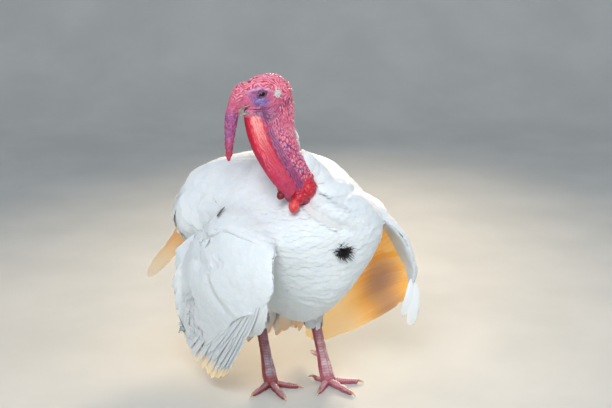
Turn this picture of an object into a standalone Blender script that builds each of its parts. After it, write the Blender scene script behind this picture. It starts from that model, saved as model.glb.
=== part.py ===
"""A domestic white turkey tom, life size, standing half in display with lowered wings.

Metres, +Z up. The breast faces -Y and the bird's own left is +X. Each sub-part is one named
object. The bird is laid out on its own stance, with the floor between the feet at zero, and
at the end everything is moved so that the middle of its bounding box stands over the origin.
"""
from math import cos, pi, radians, sin, sqrt

import bmesh
import bpy
import numpy as np

# From the stance to the middle of the bounding box
TO_BOX_CENTRE = (-0.0121, -0.1403, 0.0)

GAP = 0.00035          # left between touching pieces
VANE_EDGE = 0.0006     # thickness of a feather at its edges
SEED = 11
MERGE = 0.00002        # points nearer than this are one point
TINY_AREA = 1e-10
BLOCK = 0.3            # size of the blocks that trim a body to a plane

# Body: an egg between the breast and the root of the tail
BREAST_Y = -0.212
RUMP_Y = 0.325
BODY_WIDTH = 0.346
BACK_Z = 0.540
KEEL_Z = 0.168
WIDEST_Z = 0.372
PLAN_FULLNESS = 2.7    # 2 would be an ellipse
REAR_FULLNESS = 2.8    # the back is broad and flat behind
FRONT_FULLNESS = 1.8   # and slopes away at the shoulders
KEEL_FULLNESS = 1.35   # the breast narrows to the keel almost straight
REAR_FLARE = 0.05      # how much wider the fluffed rear half is
BREAST_LIFT = 0.030    # how far the front of the breast is carried up

# Neck and head; the head is turned to the bird's right
NECK_PATH = [(-0.045, -0.106, 0.468), (-0.070, -0.134, 0.518), (-0.092, -0.122, 0.570),
             (-0.100, -0.098, 0.620), (-0.102, -0.078, 0.668), (-0.106, -0.072, 0.698)]
NECK_RADIUS = 0.0325
COLLAR_PATH = [(0.000, -0.035, 0.430), (-0.022, -0.082, 0.482), (-0.052, -0.104, 0.532),
               (-0.074, -0.106, 0.568)]
# the large bulbs at the foot of the neck: where they sit, their radius and how far they hang
NECK_BULBS = [((-0.060, -0.157, 0.515), 0.0200, 1.0), ((-0.099, -0.166, 0.484), 0.0110, 1.5),
              ((-0.121, -0.150, 0.509), 0.0085, 1.1), ((-0.084, -0.162, 0.498), 0.0130, 1.1),
              ((-0.046, -0.146, 0.536), 0.0120, 1.0), ((-0.112, -0.118, 0.508), 0.0130, 1.1)]
HEAD_CENTRE = np.array([-0.129, -0.079, 0.708])   # between the eyes
HEAD_TURN = radians(108)                          # from straight ahead to the right
HEAD_PITCH = radians(21)                          # bill below the level
SNOOD_PATH = [(-0.1685, -0.0595, 0.6956), (-0.1757, -0.0595, 0.6817), (-0.1825, -0.0573, 0.6606),
              (-0.1854, -0.0563, 0.6353), (-0.1870, -0.0558, 0.6100), (-0.1876, -0.0556, 0.5890),
              (-0.1878, -0.0555, 0.5680)]
SNOOD_HALF_WIDTHS = (0.0155, 0.0150, 0.0125, 0.0112, 0.0110, 0.0106, 0.0094, 0.0062, 0.0018)
EYE_RADIUS = 0.0068
EYE_OUT = 0.0172

# Legs
RIGHT_FOOT = np.array([-0.038, 0.046])
LEFT_FOOT = np.array([0.083, -0.008])
RIGHT_HOCK = np.array([-0.048, 0.076, 0.166])
LEFT_HOCK = np.array([0.065, 0.022, 0.166])
SHANK_RADIUS = 0.0108
SPUR_LENGTH = 0.017

# Flight feathers
PRIMARIES = 9
SECONDARIES = 9
GREATER_COVERTS = 9
MEDIAN_COVERTS = 5
ALULA_FEATHERS = 3
SHINGLE = radians(10)  # each vane leans this much over the next one
TAIL_FEATHERS = 12
TAIL_COVERTS = 6

WHITE = (0.86, 0.87, 0.86, 1)
SKIN_RED = (0.55, 0.06, 0.08, 1)
SKIN_PINK = (0.62, 0.20, 0.26, 1)
HORN = (0.55, 0.48, 0.42, 1)
LEG_PINK = (0.46, 0.22, 0.20, 1)
BLACK = (0.012, 0.010, 0.012, 1)
EYE_BROWN = (0.03, 0.015, 0.01, 1)


# Small vector helpers

def vec(*values):
    return np.array(values, float)


def unit(v):
    v = np.asarray(v, float)
    return v / np.linalg.norm(v)


def mix(a, b, t):
    return np.asarray(a, float) * (1 - t) + np.asarray(b, float) * t


def smoothstep(t):
    t = min(1.0, max(0.0, t))
    return t * t * (3 - 2 * t)


def along(points, t):
    """The point at t, from 0 to 1, on a Catmull-Rom curve through the given points."""
    points = [np.asarray(p, float) for p in points]
    points = [2 * points[0] - points[1], *points, 2 * points[-1] - points[-2]]
    x = min(max(t, 0.0), 1.0) * (len(points) - 3)
    i = min(int(x), len(points) - 4)
    x -= i
    a, b, c, d = points[i:i + 4]
    return 0.5 * (2 * b + (c - a) * x + (2 * a - 5 * b + 4 * c - d) * x * x
                  + (3 * b - a - 3 * c + d) * x ** 3)


# Blender helpers

def clear_scene():
    for obj in list(bpy.data.objects):
        bpy.data.objects.remove(obj)


def material(name, colour, roughness=0.6):
    made = bpy.data.materials.get(name) or bpy.data.materials.new(name)
    made.use_nodes = True
    shader = made.node_tree.nodes["Principled BSDF"]
    shader.inputs["Base Color"].default_value = colour
    shader.inputs["Roughness"].default_value = roughness
    shader.inputs["Metallic"].default_value = 0.0
    return made


def add_mesh(name, points, faces, look=None, smooth=True):
    """A closed mesh object, its faces turned to point out."""
    points = np.asarray(points, float)
    volume = 0.0
    for face in faces:
        for i in range(1, len(face) - 1):
            volume += np.linalg.det(points[[face[0], face[i], face[i + 1]]])
    if volume < 0:
        faces = [tuple(reversed(face)) for face in faces]
    mesh = bpy.data.meshes.new(name)
    mesh.from_pydata([tuple(p) for p in points], [], faces)
    if smooth:
        mesh.shade_smooth()
    if look:
        mesh.materials.append(look)
    obj = bpy.data.objects.new(name, mesh)
    bpy.context.scene.collection.objects.link(obj)
    return obj


def skin_rings(name, rings, look=None):
    """A closed body through rings of equally many points, each end closed to a point."""
    rings = [np.asarray(r, float) for r in rings]
    count = len(rings[0])
    points = np.vstack([*rings, rings[0].mean(0)[None], rings[-1].mean(0)[None]])
    faces = []
    for i in range(len(rings) - 1):
        for j in range(count):
            k = (j + 1) % count
            a, b = i * count, (i + 1) * count
            faces += [(a + j, a + k, b + k), (a + j, b + k, b + j)]
    first, last = len(points) - 2, len(points) - 1
    for j in range(count):
        k = (j + 1) % count
        faces.append((first, k, j))
        faces.append((last, (len(rings) - 1) * count + j, (len(rings) - 1) * count + k))
    return add_mesh(name, points, faces, look)


def oval(centre, side, up, half_side, half_up, count, phase=0.0):
    """A ring of points on an ellipse in the plane of side and up."""
    return [centre + side * half_side * cos(2 * pi * i / count + phase)
            + up * half_up * sin(2 * pi * i / count + phase) for i in range(count)]


def tube_rings(path, sizes, up, sides, stations):
    """Rings along a curve. sizes gives (half width, half height) at 0 to 1, up its upper side."""
    rings = []
    for i in range(stations):
        t = i / (stations - 1)
        ahead = unit(along(path, t + 0.01) - along(path, t - 0.01) if 0 < t < 1
                     else along(path, min(t + 0.02, 1)) - along(path, max(t - 0.02, 0)))
        upper = up(t) if callable(up) else np.asarray(up, float)
        upper = unit(upper - ahead * np.dot(upper, ahead))
        half_width, half_height = sizes(t)
        rings.append(oval(along(path, t), np.cross(ahead, upper), upper,
                          half_width, half_height, sides))
    return rings


def ball(name, centre, radii, axes=None, rings=8, sides=12, look=None):
    """An ellipsoid with its own axes: radii along ahead, side and up."""
    ahead, side, up = axes or (vec(1, 0, 0), vec(0, 1, 0), vec(0, 0, 1))
    made = []
    for i in range(1, rings):
        a = pi * i / rings
        made.append(oval(centre - ahead * radii[0] * cos(a), side, up,
                         radii[1] * sin(a), radii[2] * sin(a), sides))
    obj = skin_rings(name, made, look)
    obj.data.vertices[len(obj.data.vertices) - 2].co = centre - ahead * radii[0]
    obj.data.vertices[len(obj.data.vertices) - 1].co = centre + ahead * radii[0]
    return obj


def lock(name, path, width, thickness, up, sides=6, stations=5, look=None):
    """A flat, tapered lock or finger along a curve, thickest near its root."""
    def sizes(t):
        taper = sqrt(max(0.0, 1 - t)) * (0.9 + 0.1 * t) + 0.02
        return width / 2 * taper, thickness / 2 * taper
    return skin_rings(name, tube_rings(path, sizes, up, sides, stations), look)


def apply_modifiers(obj):
    graph = bpy.context.evaluated_depsgraph_get()
    mesh = bpy.data.meshes.new_from_object(obj.evaluated_get(graph))
    obj.modifiers.clear()
    old = obj.data
    obj.data = mesh
    bpy.data.meshes.remove(old)


def keep_largest(obj):
    """Drops every closed surface of the mesh but the one that holds most."""
    mesh = obj.data
    points = np.array([v.co for v in mesh.vertices], float)
    root = list(range(len(points)))

    def find(i):
        while root[i] != i:
            root[i] = root[root[i]]
            i = root[i]
        return i

    for edge in mesh.edges:
        a, b = find(edge.vertices[0]), find(edge.vertices[1])
        root[a] = b
    volumes = {}
    for face in mesh.polygons:
        corners = list(face.vertices)
        held = sum(np.linalg.det(points[[corners[0], corners[i], corners[i + 1]]])
                   for i in range(1, len(corners) - 1))
        volumes[find(corners[0])] = volumes.get(find(corners[0]), 0.0) + held
    if len(volumes) < 2:
        return
    largest = max(volumes, key=volumes.get)
    kept = [i for i in range(len(points)) if find(i) == largest]
    number = {old: new for new, old in enumerate(kept)}
    faces = [tuple(number[i] for i in f.vertices) for f in mesh.polygons
             if find(f.vertices[0]) == largest]
    looks = list(mesh.materials)
    mesh.clear_geometry()
    mesh.from_pydata([tuple(points[i]) for i in kept], [], faces)
    mesh.shade_smooth()
    for look in looks:
        if look and look.name not in mesh.materials:
            mesh.materials.append(look)


def fuse(name, pieces, look):
    """Joins closed, overlapping pieces into one body. MANIFOLD, as EXACT is slow on many vanes."""
    group = bpy.data.collections.new(name + "_pieces")
    bpy.context.scene.collection.children.link(group)
    base, rest = pieces[0], pieces[1:]
    for piece in rest:
        bpy.context.scene.collection.objects.unlink(piece)
        group.objects.link(piece)
    joined = base.modifiers.new("joined", "BOOLEAN")
    joined.operation = "UNION"
    joined.solver = "MANIFOLD"
    joined.operand_type = "COLLECTION"
    joined.collection = group
    apply_modifiers(base)
    for piece in rest:
        bpy.data.objects.remove(piece)
    bpy.data.collections.remove(group)
    keep_largest(base)
    base.name = name
    base.data.name = name
    base.data.materials.clear()
    base.data.materials.append(look)
    return base


def grown(obj, distance):
    """A helper copy of a body, swollen so that each face moves out by at least the distance."""
    body = bmesh.new()
    body.from_mesh(obj.data)
    bmesh.ops.remove_doubles(body, verts=body.verts, dist=MERGE)
    bmesh.ops.dissolve_degenerate(body, edges=body.edges, dist=MERGE)
    bmesh.ops.triangulate(body, faces=body.faces)
    moves = []
    for vertex in body.verts:
        faces = [f for f in vertex.link_faces if f.calc_area() > TINY_AREA]
        total = sum((f.normal * f.calc_area() for f in faces), vertex.co * 0)
        normal = total.normalized() if total.length else vertex.normal
        least = min((f.normal.dot(normal) for f in faces), default=1.0)
        moves.append(normal * distance / max(0.4, least))
    for vertex, move in zip(body.verts, moves):
        vertex.co += move
    mesh = bpy.data.meshes.new(obj.name + "_cutter")
    body.to_mesh(mesh)
    body.free()
    copy = bpy.data.objects.new(mesh.name, mesh)
    bpy.context.scene.collection.objects.link(copy)
    return copy


def beyond(name, place, normal):
    """A large block that fills everything past a plane."""
    normal = unit(normal)
    side = unit(np.cross(normal, vec(0, 0, 1)))
    far = np.cross(side, normal)
    corners = [place + normal * BLOCK * n + (side * x + far * y) * BLOCK
               for n in (0, 1) for x, y in ((-1, -1), (1, -1), (1, 1), (-1, 1))]
    return add_mesh(name, corners, [(3, 2, 1, 0), (4, 5, 6, 7), (0, 1, 5, 4), (1, 2, 6, 5),
                                    (2, 3, 7, 6), (3, 0, 4, 7)], smooth=False)


def take_away(obj, cutter):
    """Cuts one body out of another and removes the cutter."""
    look = obj.data.materials[0]
    taken = obj.modifiers.new("clear", "BOOLEAN")
    taken.operation = "DIFFERENCE"
    taken.solver = "MANIFOLD"
    taken.object = cutter
    apply_modifiers(obj)
    bpy.data.objects.remove(cutter)
    keep_largest(obj)
    obj.data.materials.clear()
    obj.data.materials.append(look)
    return obj


def cut(obj, others):
    """Makes room for the bodies that touch this one, with the gap between.

    A body swells into itself in its creases, so thinner cutters follow the first.
    """
    for other in others:
        for gap in (GAP, GAP / 2, GAP / 6):
            take_away(obj, grown(other, gap))
    return obj


# Feathers

FLIGHT = ((0.0, 0.30), (0.20, 0.80), (0.60, 1.0), (0.90, 0.74), (1.0, 0.26))
COVERT = ((0.0, 0.40), (0.62, 1.0), (1.0, 0.34))


def vane(root, tip, outward, width, bow=0.0, lead=0.5, tilt=SHINGLE, lean=1, thickness=0.0022,
         shape=FLIGHT):
    """One feather as a thin closed blade.

    outward points off the wing, bow lifts the middle of the blade that way, lead is the share of
    the width ahead of the shaft, and lean is +1 or -1 for which edge lies over the next vane.
    Both faces are split into triangles alike.
    """
    axis = tip - root
    ahead = unit(axis)
    out = unit(outward - ahead * np.dot(outward, ahead))
    side = np.cross(ahead, out) * lean
    side, out = side * cos(tilt) + out * sin(tilt), out * cos(tilt) - side * sin(tilt)
    points = []
    for u, w in shape:
        middle = root + axis * u + out * bow * 4 * u * (1 - u)
        half = max(VANE_EDGE, thickness * (1 - 0.7 * u)) / 2
        front = middle + side * width * w * lead
        back = middle - side * width * w * (1 - lead)
        points += [back + out * half, front + out * half, front - out * half, back - out * half]
    faces = []
    for k in range(len(shape) - 1):
        a, b = 4 * k, 4 * (k + 1)
        for i, j in ((0, 1), (1, 2), (2, 3), (3, 0)):
            # the lower face mirrors the upper one, so its split runs the other way round
            if i == 2:
                faces += [(a + i, a + j, b + i), (a + j, b + j, b + i)]
            else:
                faces += [(a + i, a + j, b + j), (a + i, b + j, b + i)]
    last = 4 * (len(shape) - 1)
    faces += [(2, 1, 0), (3, 2, 0), (last, last + 1, last + 2), (last, last + 2, last + 3)]
    return add_mesh("vane", points, faces)


# Torso

def body_section(y):
    """(half width, height of the widest line, rise above it, depth below it, fullness) at y."""
    middle, half = (BREAST_Y + RUMP_Y) / 2, (RUMP_Y - BREAST_Y) / 2
    t = (y - middle) / half
    full = max(0.0, 1 - abs(t) ** PLAN_FULLNESS) ** (1 / PLAN_FULLNESS)
    round_end = max(0.0, 1 - abs(t) ** 2) ** 0.5
    rear = smoothstep(t)
    axis = WIDEST_Z + BREAST_LIFT * smoothstep(-t)
    return (BODY_WIDTH / 2 * full * (1 + REAR_FLARE * rear), axis,
            (BACK_Z - axis) * full * (1 - 0.10 * rear),
            (axis - KEEL_Z) * mix(round_end, full, 0.25) * (1 - 0.60 * rear),
            mix(FRONT_FULLNESS, REAR_FULLNESS, smoothstep((t + 0.5) / 0.9)))


def superellipse(a, fullness):
    """Cosine and sine of an angle, swollen or drawn in."""
    c, s = cos(a), sin(a)
    return (np.sign(c) * abs(c) ** (2 / fullness), np.sign(s) * abs(s) ** (2 / fullness))


def make_torso(look):
    sides, stations = 26, 15
    rings = []
    for i in range(1, stations):
        y = mix(BREAST_Y, RUMP_Y, (1 - cos(pi * i / stations)) / 2)
        half_width, axis, rise, depth, fullness = body_section(y)
        ring = []
        for j in range(sides):
            a = 2 * pi * j / sides
            above = sin(a) > 0
            c, s = superellipse(a, fullness if above else KEEL_FULLNESS)
            ring.append(vec(half_width * c, y, axis + (rise if above else depth) * s))
        rings.append(ring)
    egg = skin_rings("egg", rings)
    top = len(egg.data.vertices)
    egg.data.vertices[top - 2].co = (0, BREAST_Y, WIDEST_Z + BREAST_LIFT)
    egg.data.vertices[top - 1].co = (0, RUMP_Y, WIDEST_Z)
    collar = skin_rings("collar", tube_rings(
        COLLAR_PATH, lambda t: (mix(0.098, 0.039, t ** 0.8), mix(0.090, 0.038, t ** 0.8)),
        vec(0, 1, 0.3), 16, 6))
    return fuse("torso", [egg, collar], look)


# Neck, with its wattle and fleshy caruncles

def make_neck(look, torso):
    front_top = vec(-sin(HEAD_TURN), -cos(HEAD_TURN), 0)
    front_base = unit(vec(-0.82, -0.57, 0))

    def front(t):
        return unit(mix(front_base, front_top, smoothstep(t)))

    column = skin_rings("column", tube_rings(
        NECK_PATH, lambda t: (NECK_RADIUS * (1.10 - 0.16 * t), NECK_RADIUS * (1.12 - 0.14 * t)),
        front, 14, 10))
    # the wattle is a fold of skin down the throat, deepest in the upper middle
    wattle_path = [along(NECK_PATH, t) + front(t) * d for t, d in
                   ((0.16, 0.022), (0.34, 0.033), (0.55, 0.040), (0.76, 0.040), (0.92, 0.026))]
    wattle = skin_rings("wattle", tube_rings(
        wattle_path, lambda t: (0.0125 + 0.004 * sin(pi * t), 0.018 + 0.004 * sin(pi * t)),
        front, 10, 8))
    pieces = [column, wattle]
    for across in (-1, 1):
        fold_path = [p + np.cross(front(t), vec(0, 0, 1)) * across * 0.013 - front(t) * 0.012
                     for p, t in zip(wattle_path, (0.16, 0.34, 0.55, 0.76, 0.92))]
        pieces.append(skin_rings("fold", tube_rings(
            fold_path, lambda t: (0.0062, 0.010), front, 6, 6)))
    pieces += caruncles(front)
    neck = fuse("neck", pieces, look)
    place, normal = jaw_plane()
    take_away(neck, beyond("above", place - normal * GAP / 2, normal))
    return cut(neck, [torso])


def caruncles(front):
    """The large bulbs at the foot of the neck and rows of small ones up its back and sides."""
    random = np.random.default_rng(SEED)
    down = unit(vec(-0.35, -0.35, -1))
    side = unit(np.cross(down, vec(0, 0, 1)))
    made = [ball("bulb", np.array(place), (size * hang, size, size),
                 (down, side, np.cross(down, side)), 5, 8) for place, size, hang in NECK_BULBS]
    # angle from the front towards the bird's left, from and to along the neck, how many
    rows = [(68, 0.34, 0.84, 4), (102, 0.32, 0.98, 5), (136, 0.42, 1.0, 4), (172, 0.44, 1.0, 4),
            (-146, 0.42, 1.0, 3), (-106, 0.38, 0.98, 3), (-68, 0.34, 0.88, 3)]
    for row, (angle, low, high, count) in enumerate(rows):
        for i in range(count):
            t = mix(low, high, (i + 0.3 + 0.4 * (row % 2)) / count)
            size = mix(0.0110, 0.0074, (t - 0.3) / 0.7) * random.uniform(0.9, 1.1)
            turn = radians(angle + random.uniform(-4, 4))
            made.append(bulb(front, turn, min(t, 0.985), size, 5, 3))
    return made


def bulb(front, angle, t, size, sides, rings):
    """A caruncle on the neck, at an angle from its front."""
    centre = along(NECK_PATH, t)
    ahead = unit(along(NECK_PATH, min(t + 0.02, 1)) - along(NECK_PATH, max(t - 0.02, 0)))
    f = front(t)
    f = unit(f - ahead * np.dot(f, ahead))
    side = np.cross(ahead, f)
    out = f * cos(angle) + side * sin(angle)
    place = centre + out * (NECK_RADIUS * 1.02 + size * 0.15)
    return ball("bulb", place, (size * 1.15, size * 0.95, size * 0.80),
                (ahead, np.cross(out, ahead), out), rings, sides)


# Head

def head_frame():
    level = vec(-sin(HEAD_TURN), -cos(HEAD_TURN), 0)
    left = np.cross(vec(0, 0, 1), level)
    ahead = level * cos(HEAD_PITCH) - vec(0, 0, 1) * sin(HEAD_PITCH)
    up = level * sin(HEAD_PITCH) + vec(0, 0, 1) * cos(HEAD_PITCH)
    return ahead, left, up


def on_head(ahead, left, up):
    """A place in the head's own frame, which starts between the eyes."""
    a, l, u = head_frame()
    return HEAD_CENTRE + a * ahead + l * left + u * up


def jaw_plane():
    """Where the neck ends and the head begins: a point and the upward normal."""
    ahead, left, up = head_frame()
    return on_head(-0.015, 0, -0.0330), unit(up + 0.22 * ahead)


# ahead of the eyes, half width, lower edge, upper edge, from the nape to the bill's root
HEAD_SECTIONS = [(-0.058, 0.0160, -0.034, 0.000), (-0.050, 0.0215, -0.044, 0.015),
                 (-0.036, 0.0238, -0.050, 0.0275), (-0.018, 0.0242, -0.046, 0.0335),
                 (0.000, 0.0232, -0.0385, 0.0345), (0.016, 0.0205, -0.0345, 0.0320),
                 (0.030, 0.0165, -0.0315, 0.0265), (0.040, 0.0130, -0.0290, 0.0190),
                 (0.047, 0.0095, -0.0260, 0.0090)]


def make_head(look):
    ahead, left, up = head_frame()
    rings = []
    for a, half, low, high in HEAD_SECTIONS:
        centre = on_head(a, 0, (low + high) / 2)
        rings.append(oval(centre, left, up, half, (high - low) / 2, 14))
    skull = skin_rings("skull", rings)
    pieces = [skull]
    for side in (-1, 1):
        pieces.append(ball("brow", on_head(0.000, side * 0.0172, 0.0115), (0.017, 0.0062, 0.0052),
                           (unit(ahead - 0.12 * up), left, unit(up + 0.12 * ahead)), 5, 6))
        pieces.append(ball("cheek", on_head(-0.012, side * 0.0150, -0.0235), (0.019, 0.0085, 0.0125),
                           (ahead, left, up), 5, 7))
        pieces.append(ball("gape", on_head(0.010, side * 0.0135, -0.0240), (0.012, 0.0058, 0.0042),
                           (ahead, left, up), 4, 6))
        for lid, height in (("upper_lid", 0.0050), ("lower_lid", -0.0048)):
            path = [on_head(a, side * (0.0222 - 0.9 * abs(a)), height * (1 - (a / 0.0115) ** 2))
                    for a in (-0.0105, -0.0055, 0.0, 0.0055, 0.0105)]
            pieces.append(skin_rings(lid, tube_rings(path, lambda t: (0.0018, 0.0018),
                                                     left * side, 5, 5)))
        ear = [on_head(-0.034 + 0.0062 * cos(a), side * 0.0236, -0.0120 + 0.0072 * sin(a))
               for a in np.linspace(0.2, 2 * pi - 0.2, 7)]
        pieces.append(skin_rings("ear_rim", tube_rings(ear, lambda t: (0.0022, 0.0022),
                                                       left * side, 5, 8)))
    pieces += head_folds()
    head = fuse("head", pieces, look)
    place, normal = jaw_plane()
    take_away(head, beyond("below", place + normal * GAP / 2, -normal))
    for side in (-1, 1):
        take_away(head, ball("socket", on_head(0.0, side * EYE_OUT, 0.0), (EYE_RADIUS + 2 * GAP,) * 3,
                             (left * side, ahead, up), 6, 9))
        take_away(head, ball("nostril", on_head(0.0405, side * 0.0135, -0.0075),
                             (0.0048, 0.0030, 0.0016), (unit(ahead - 0.3 * up), left, up), 5, 8))
    return head


def head_folds():
    """Wrinkled skin over the crown and behind the eye, as low ridges."""
    random = np.random.default_rng(SEED + 1)
    made = []
    ahead, left, up = head_frame()
    for a in np.linspace(-0.044, 0.010, 4):
        half, low, high = [np.interp(a, [s[0] for s in HEAD_SECTIONS],
                                     [s[k] for s in HEAD_SECTIONS]) for k in (1, 2, 3)]
        middle = (low + high) / 2
        rise = (high - low) / 2
        path = []
        for angle in np.linspace(-58, 58, 5):
            wobble = random.uniform(-0.002, 0.002)
            path.append(on_head(a + wobble, half * sin(radians(angle)) * 0.99,
                                middle + rise * cos(radians(angle)) * 0.99))
        made.append(skin_rings("crown_fold", tube_rings(
            path, lambda t: (0.0040, 0.0016 * (0.5 + 0.5 * sin(pi * t))), up, 5, 6)))
    return made


def make_snood(look, head):
    """The fleshy finger that grows above the bill and hangs past its tip."""
    level = vec(-sin(HEAD_TURN), -cos(HEAD_TURN), 0)
    path = [on_head(0.018, -0.001, 0.016), on_head(0.034, -0.002, 0.013), *SNOOD_PATH]

    def sizes(t):
        half = np.interp(t * 8, range(9), SNOOD_HALF_WIDTHS)
        return half * 0.90, half * (1 + 0.05 * sin(11 * pi * t))

    snood = skin_rings("snood", tube_rings(path, sizes, level, 6, 12), look)
    return cut(snood, [head])


def make_bill(look, head, neck, snood):
    ahead, left, up = head_frame()
    upper_path = [on_head(0.026, 0, -0.012), on_head(0.044, 0, -0.013), on_head(0.0515, 0, -0.0185),
                  on_head(0.0560, 0, -0.0255)]
    upper = skin_rings("bill_upper", tube_rings(
        upper_path, lambda t: (mix(0.0125, 0.0022, t ** 1.3), mix(0.0095, 0.0022, t ** 1.2)),
        up, 12, 9), look)
    lower_path = [on_head(0.022, 0, -0.0285), on_head(0.040, 0, -0.0300), on_head(0.0545, 0, -0.0300)]
    lower = skin_rings("bill_lower", tube_rings(
        lower_path, lambda t: (mix(0.0105, 0.0030, t ** 1.4), mix(0.0052, 0.0020, t)),
        up, 12, 7), look)
    cut(upper, [head, neck, snood])
    cut(lower, [head, neck, upper, snood])
    return upper, lower


def make_eye(name, side, look):
    ahead, left, up = head_frame()
    return ball(name, on_head(0.0, side * EYE_OUT, 0.0), (EYE_RADIUS,) * 3,
                (left * side, ahead, up), 6, 9, look)


# Wings

class WingPose:
    """Where one wing's front and rear edges and feather tips lie, from the shoulder down."""

    def __init__(self, side, front, rear, secondary_roots, primary_roots, tips, outward, thumb):
        self.side, self.front, self.rear, self.thumb = side, front, rear, thumb
        self.secondary_roots, self.primary_roots = secondary_roots, primary_roots
        self.tips, self.outward = tips, outward


# the right wing is held forward, beside the breast
RIGHT_WING = WingPose(
    -1,
    front=[(-0.090, -0.080, 0.445), (-0.135, -0.158, 0.412), (-0.166, -0.200, 0.368),
           (-0.172, -0.206, 0.318), (-0.180, -0.172, 0.266)],
    rear=[(-0.120, 0.045, 0.430), (-0.188, 0.055, 0.396), (-0.214, 0.000, 0.350),
          (-0.212, -0.070, 0.300), (-0.192, -0.136, 0.260)],
    secondary_roots=[(-0.190, 0.040, 0.395), (-0.208, -0.012, 0.352), (-0.206, -0.076, 0.308)],
    primary_roots=[(-0.204, -0.090, 0.298), (-0.194, -0.128, 0.276), (-0.184, -0.158, 0.262)],
    tips=[(-0.230, 0.140, 0.300), (-0.232, 0.148, 0.235), (-0.212, 0.165, 0.160),
          (-0.196, 0.165, 0.095), (-0.174, 0.090, 0.040), (-0.168, 0.015, 0.062)],
    outward=(-1.0, -0.10, 0.18), thumb=(0.010, 0.075, -0.085))
# the left wing swings further out, so that its inner face shows from the front
LEFT_WING = WingPose(
    1,
    front=[(0.084, -0.040, 0.458), (0.134, -0.095, 0.426), (0.188, -0.135, 0.374),
           (0.218, -0.152, 0.296), (0.218, -0.138, 0.240)],
    rear=[(0.112, 0.080, 0.440), (0.182, 0.080, 0.402), (0.232, 0.030, 0.350),
          (0.246, -0.036, 0.278), (0.230, -0.096, 0.228)],
    secondary_roots=[(0.184, 0.065, 0.402), (0.224, 0.018, 0.354), (0.240, -0.040, 0.294)],
    primary_roots=[(0.240, -0.050, 0.284), (0.230, -0.086, 0.254), (0.222, -0.114, 0.232)],
    tips=[(0.240, 0.195, 0.300), (0.240, 0.216, 0.235), (0.206, 0.240, 0.160),
          (0.164, 0.240, 0.088), (0.136, 0.182, 0.046), (0.144, 0.100, 0.062)],
    outward=(1.0, -0.10, 0.18), thumb=(-0.004, 0.022, -0.118))


def make_wing(name, pose, look, torso):
    random = np.random.default_rng(SEED + (2 if pose.side < 0 else 3))
    sections = []
    for i in range(8):
        t = i / 7
        front, rear = along(pose.front, t), along(pose.rear, t)
        down = unit(along(pose.front, min(t + 0.05, 1)) - along(pose.front, max(t - 0.05, 0)))
        chord = rear - front
        out = unit(np.cross(chord, down)) * pose.side
        if out[0] * pose.side < 0:
            out = -out
        thick = np.interp(t, (0, 0.3, 0.7, 1), (0.018, 0.016, 0.012, 0.007))
        sections.append(oval((front + rear) / 2, unit(chord), out, np.linalg.norm(chord) / 2,
                             thick, 12))
    pieces = [skin_rings("arm", sections)]
    outward = unit(pose.outward)
    lean = 1 if pose.side > 0 else -1
    count = SECONDARIES + PRIMARIES
    for i in range(count):
        t = (i + 0.5) / count
        if i < SECONDARIES:
            root = along(pose.secondary_roots, (i + 0.5) / SECONDARIES)
            width, lead = mix(0.060, 0.052, i / SECONDARIES), 0.42
        else:
            j = i - SECONDARIES
            root = along(pose.primary_roots, (j + 0.5) / PRIMARIES)
            width, lead = mix(0.046, 0.032, j / PRIMARIES), 0.30
        tip = along(pose.tips, t) + random.normal(0, 0.002, 3)
        pieces.append(vane(root - 0.02 * unit(tip - root), tip, outward, width, bow=0.006,
                           lead=lead, lean=lean))
    pieces += coverts(pose, outward, lean, random)
    pieces += alula(pose, outward, lean)
    return cut(fuse(name, pieces, look), [torso])


def coverts(pose, outward, lean, random):
    """Two tiers of shorter feathers that cover the roots of the flight feathers."""
    made = []
    roots = pose.secondary_roots + pose.primary_roots[1:]
    for count, reach, lift, width in ((GREATER_COVERTS, 0.46, 0.0095, 0.056),
                                      (MEDIAN_COVERTS, 0.25, 0.0165, 0.066)):
        for i in range(count):
            t = (i + 0.5) / count
            flight_root = along(roots, t)
            flight_tip = along(pose.tips, t * 0.95)
            back = unit(flight_root - flight_tip)
            root = flight_root + back * 0.028 + outward * lift * 0.55
            tip = (mix(flight_root, flight_tip, reach * random.uniform(0.97, 1.03))
                   + outward * (lift + 0.007))
            made.append(vane(root, tip, outward, width, bow=0.004, lean=lean, tilt=SHINGLE * 0.8,
                             thickness=0.0018, shape=COVERT))
    return made


def alula(pose, outward, lean):
    """The thumb's few short feathers at the wrist."""
    made = []
    wrist = along(pose.front, 0.80)
    for i in range(ALULA_FEATHERS):
        root = wrist + vec(0, 0.006 + 0.006 * i, 0.014) + outward * 0.002
        drop = vec(*pose.thumb) + vec(0, 0.018 * i, 0.008 * i)
        made.append(vane(root, root + drop, outward + vec(0, -0.9, 0), 0.024, bow=0.006, lean=lean,
                         thickness=0.0022, shape=COVERT))
    return made


# Tail

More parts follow.
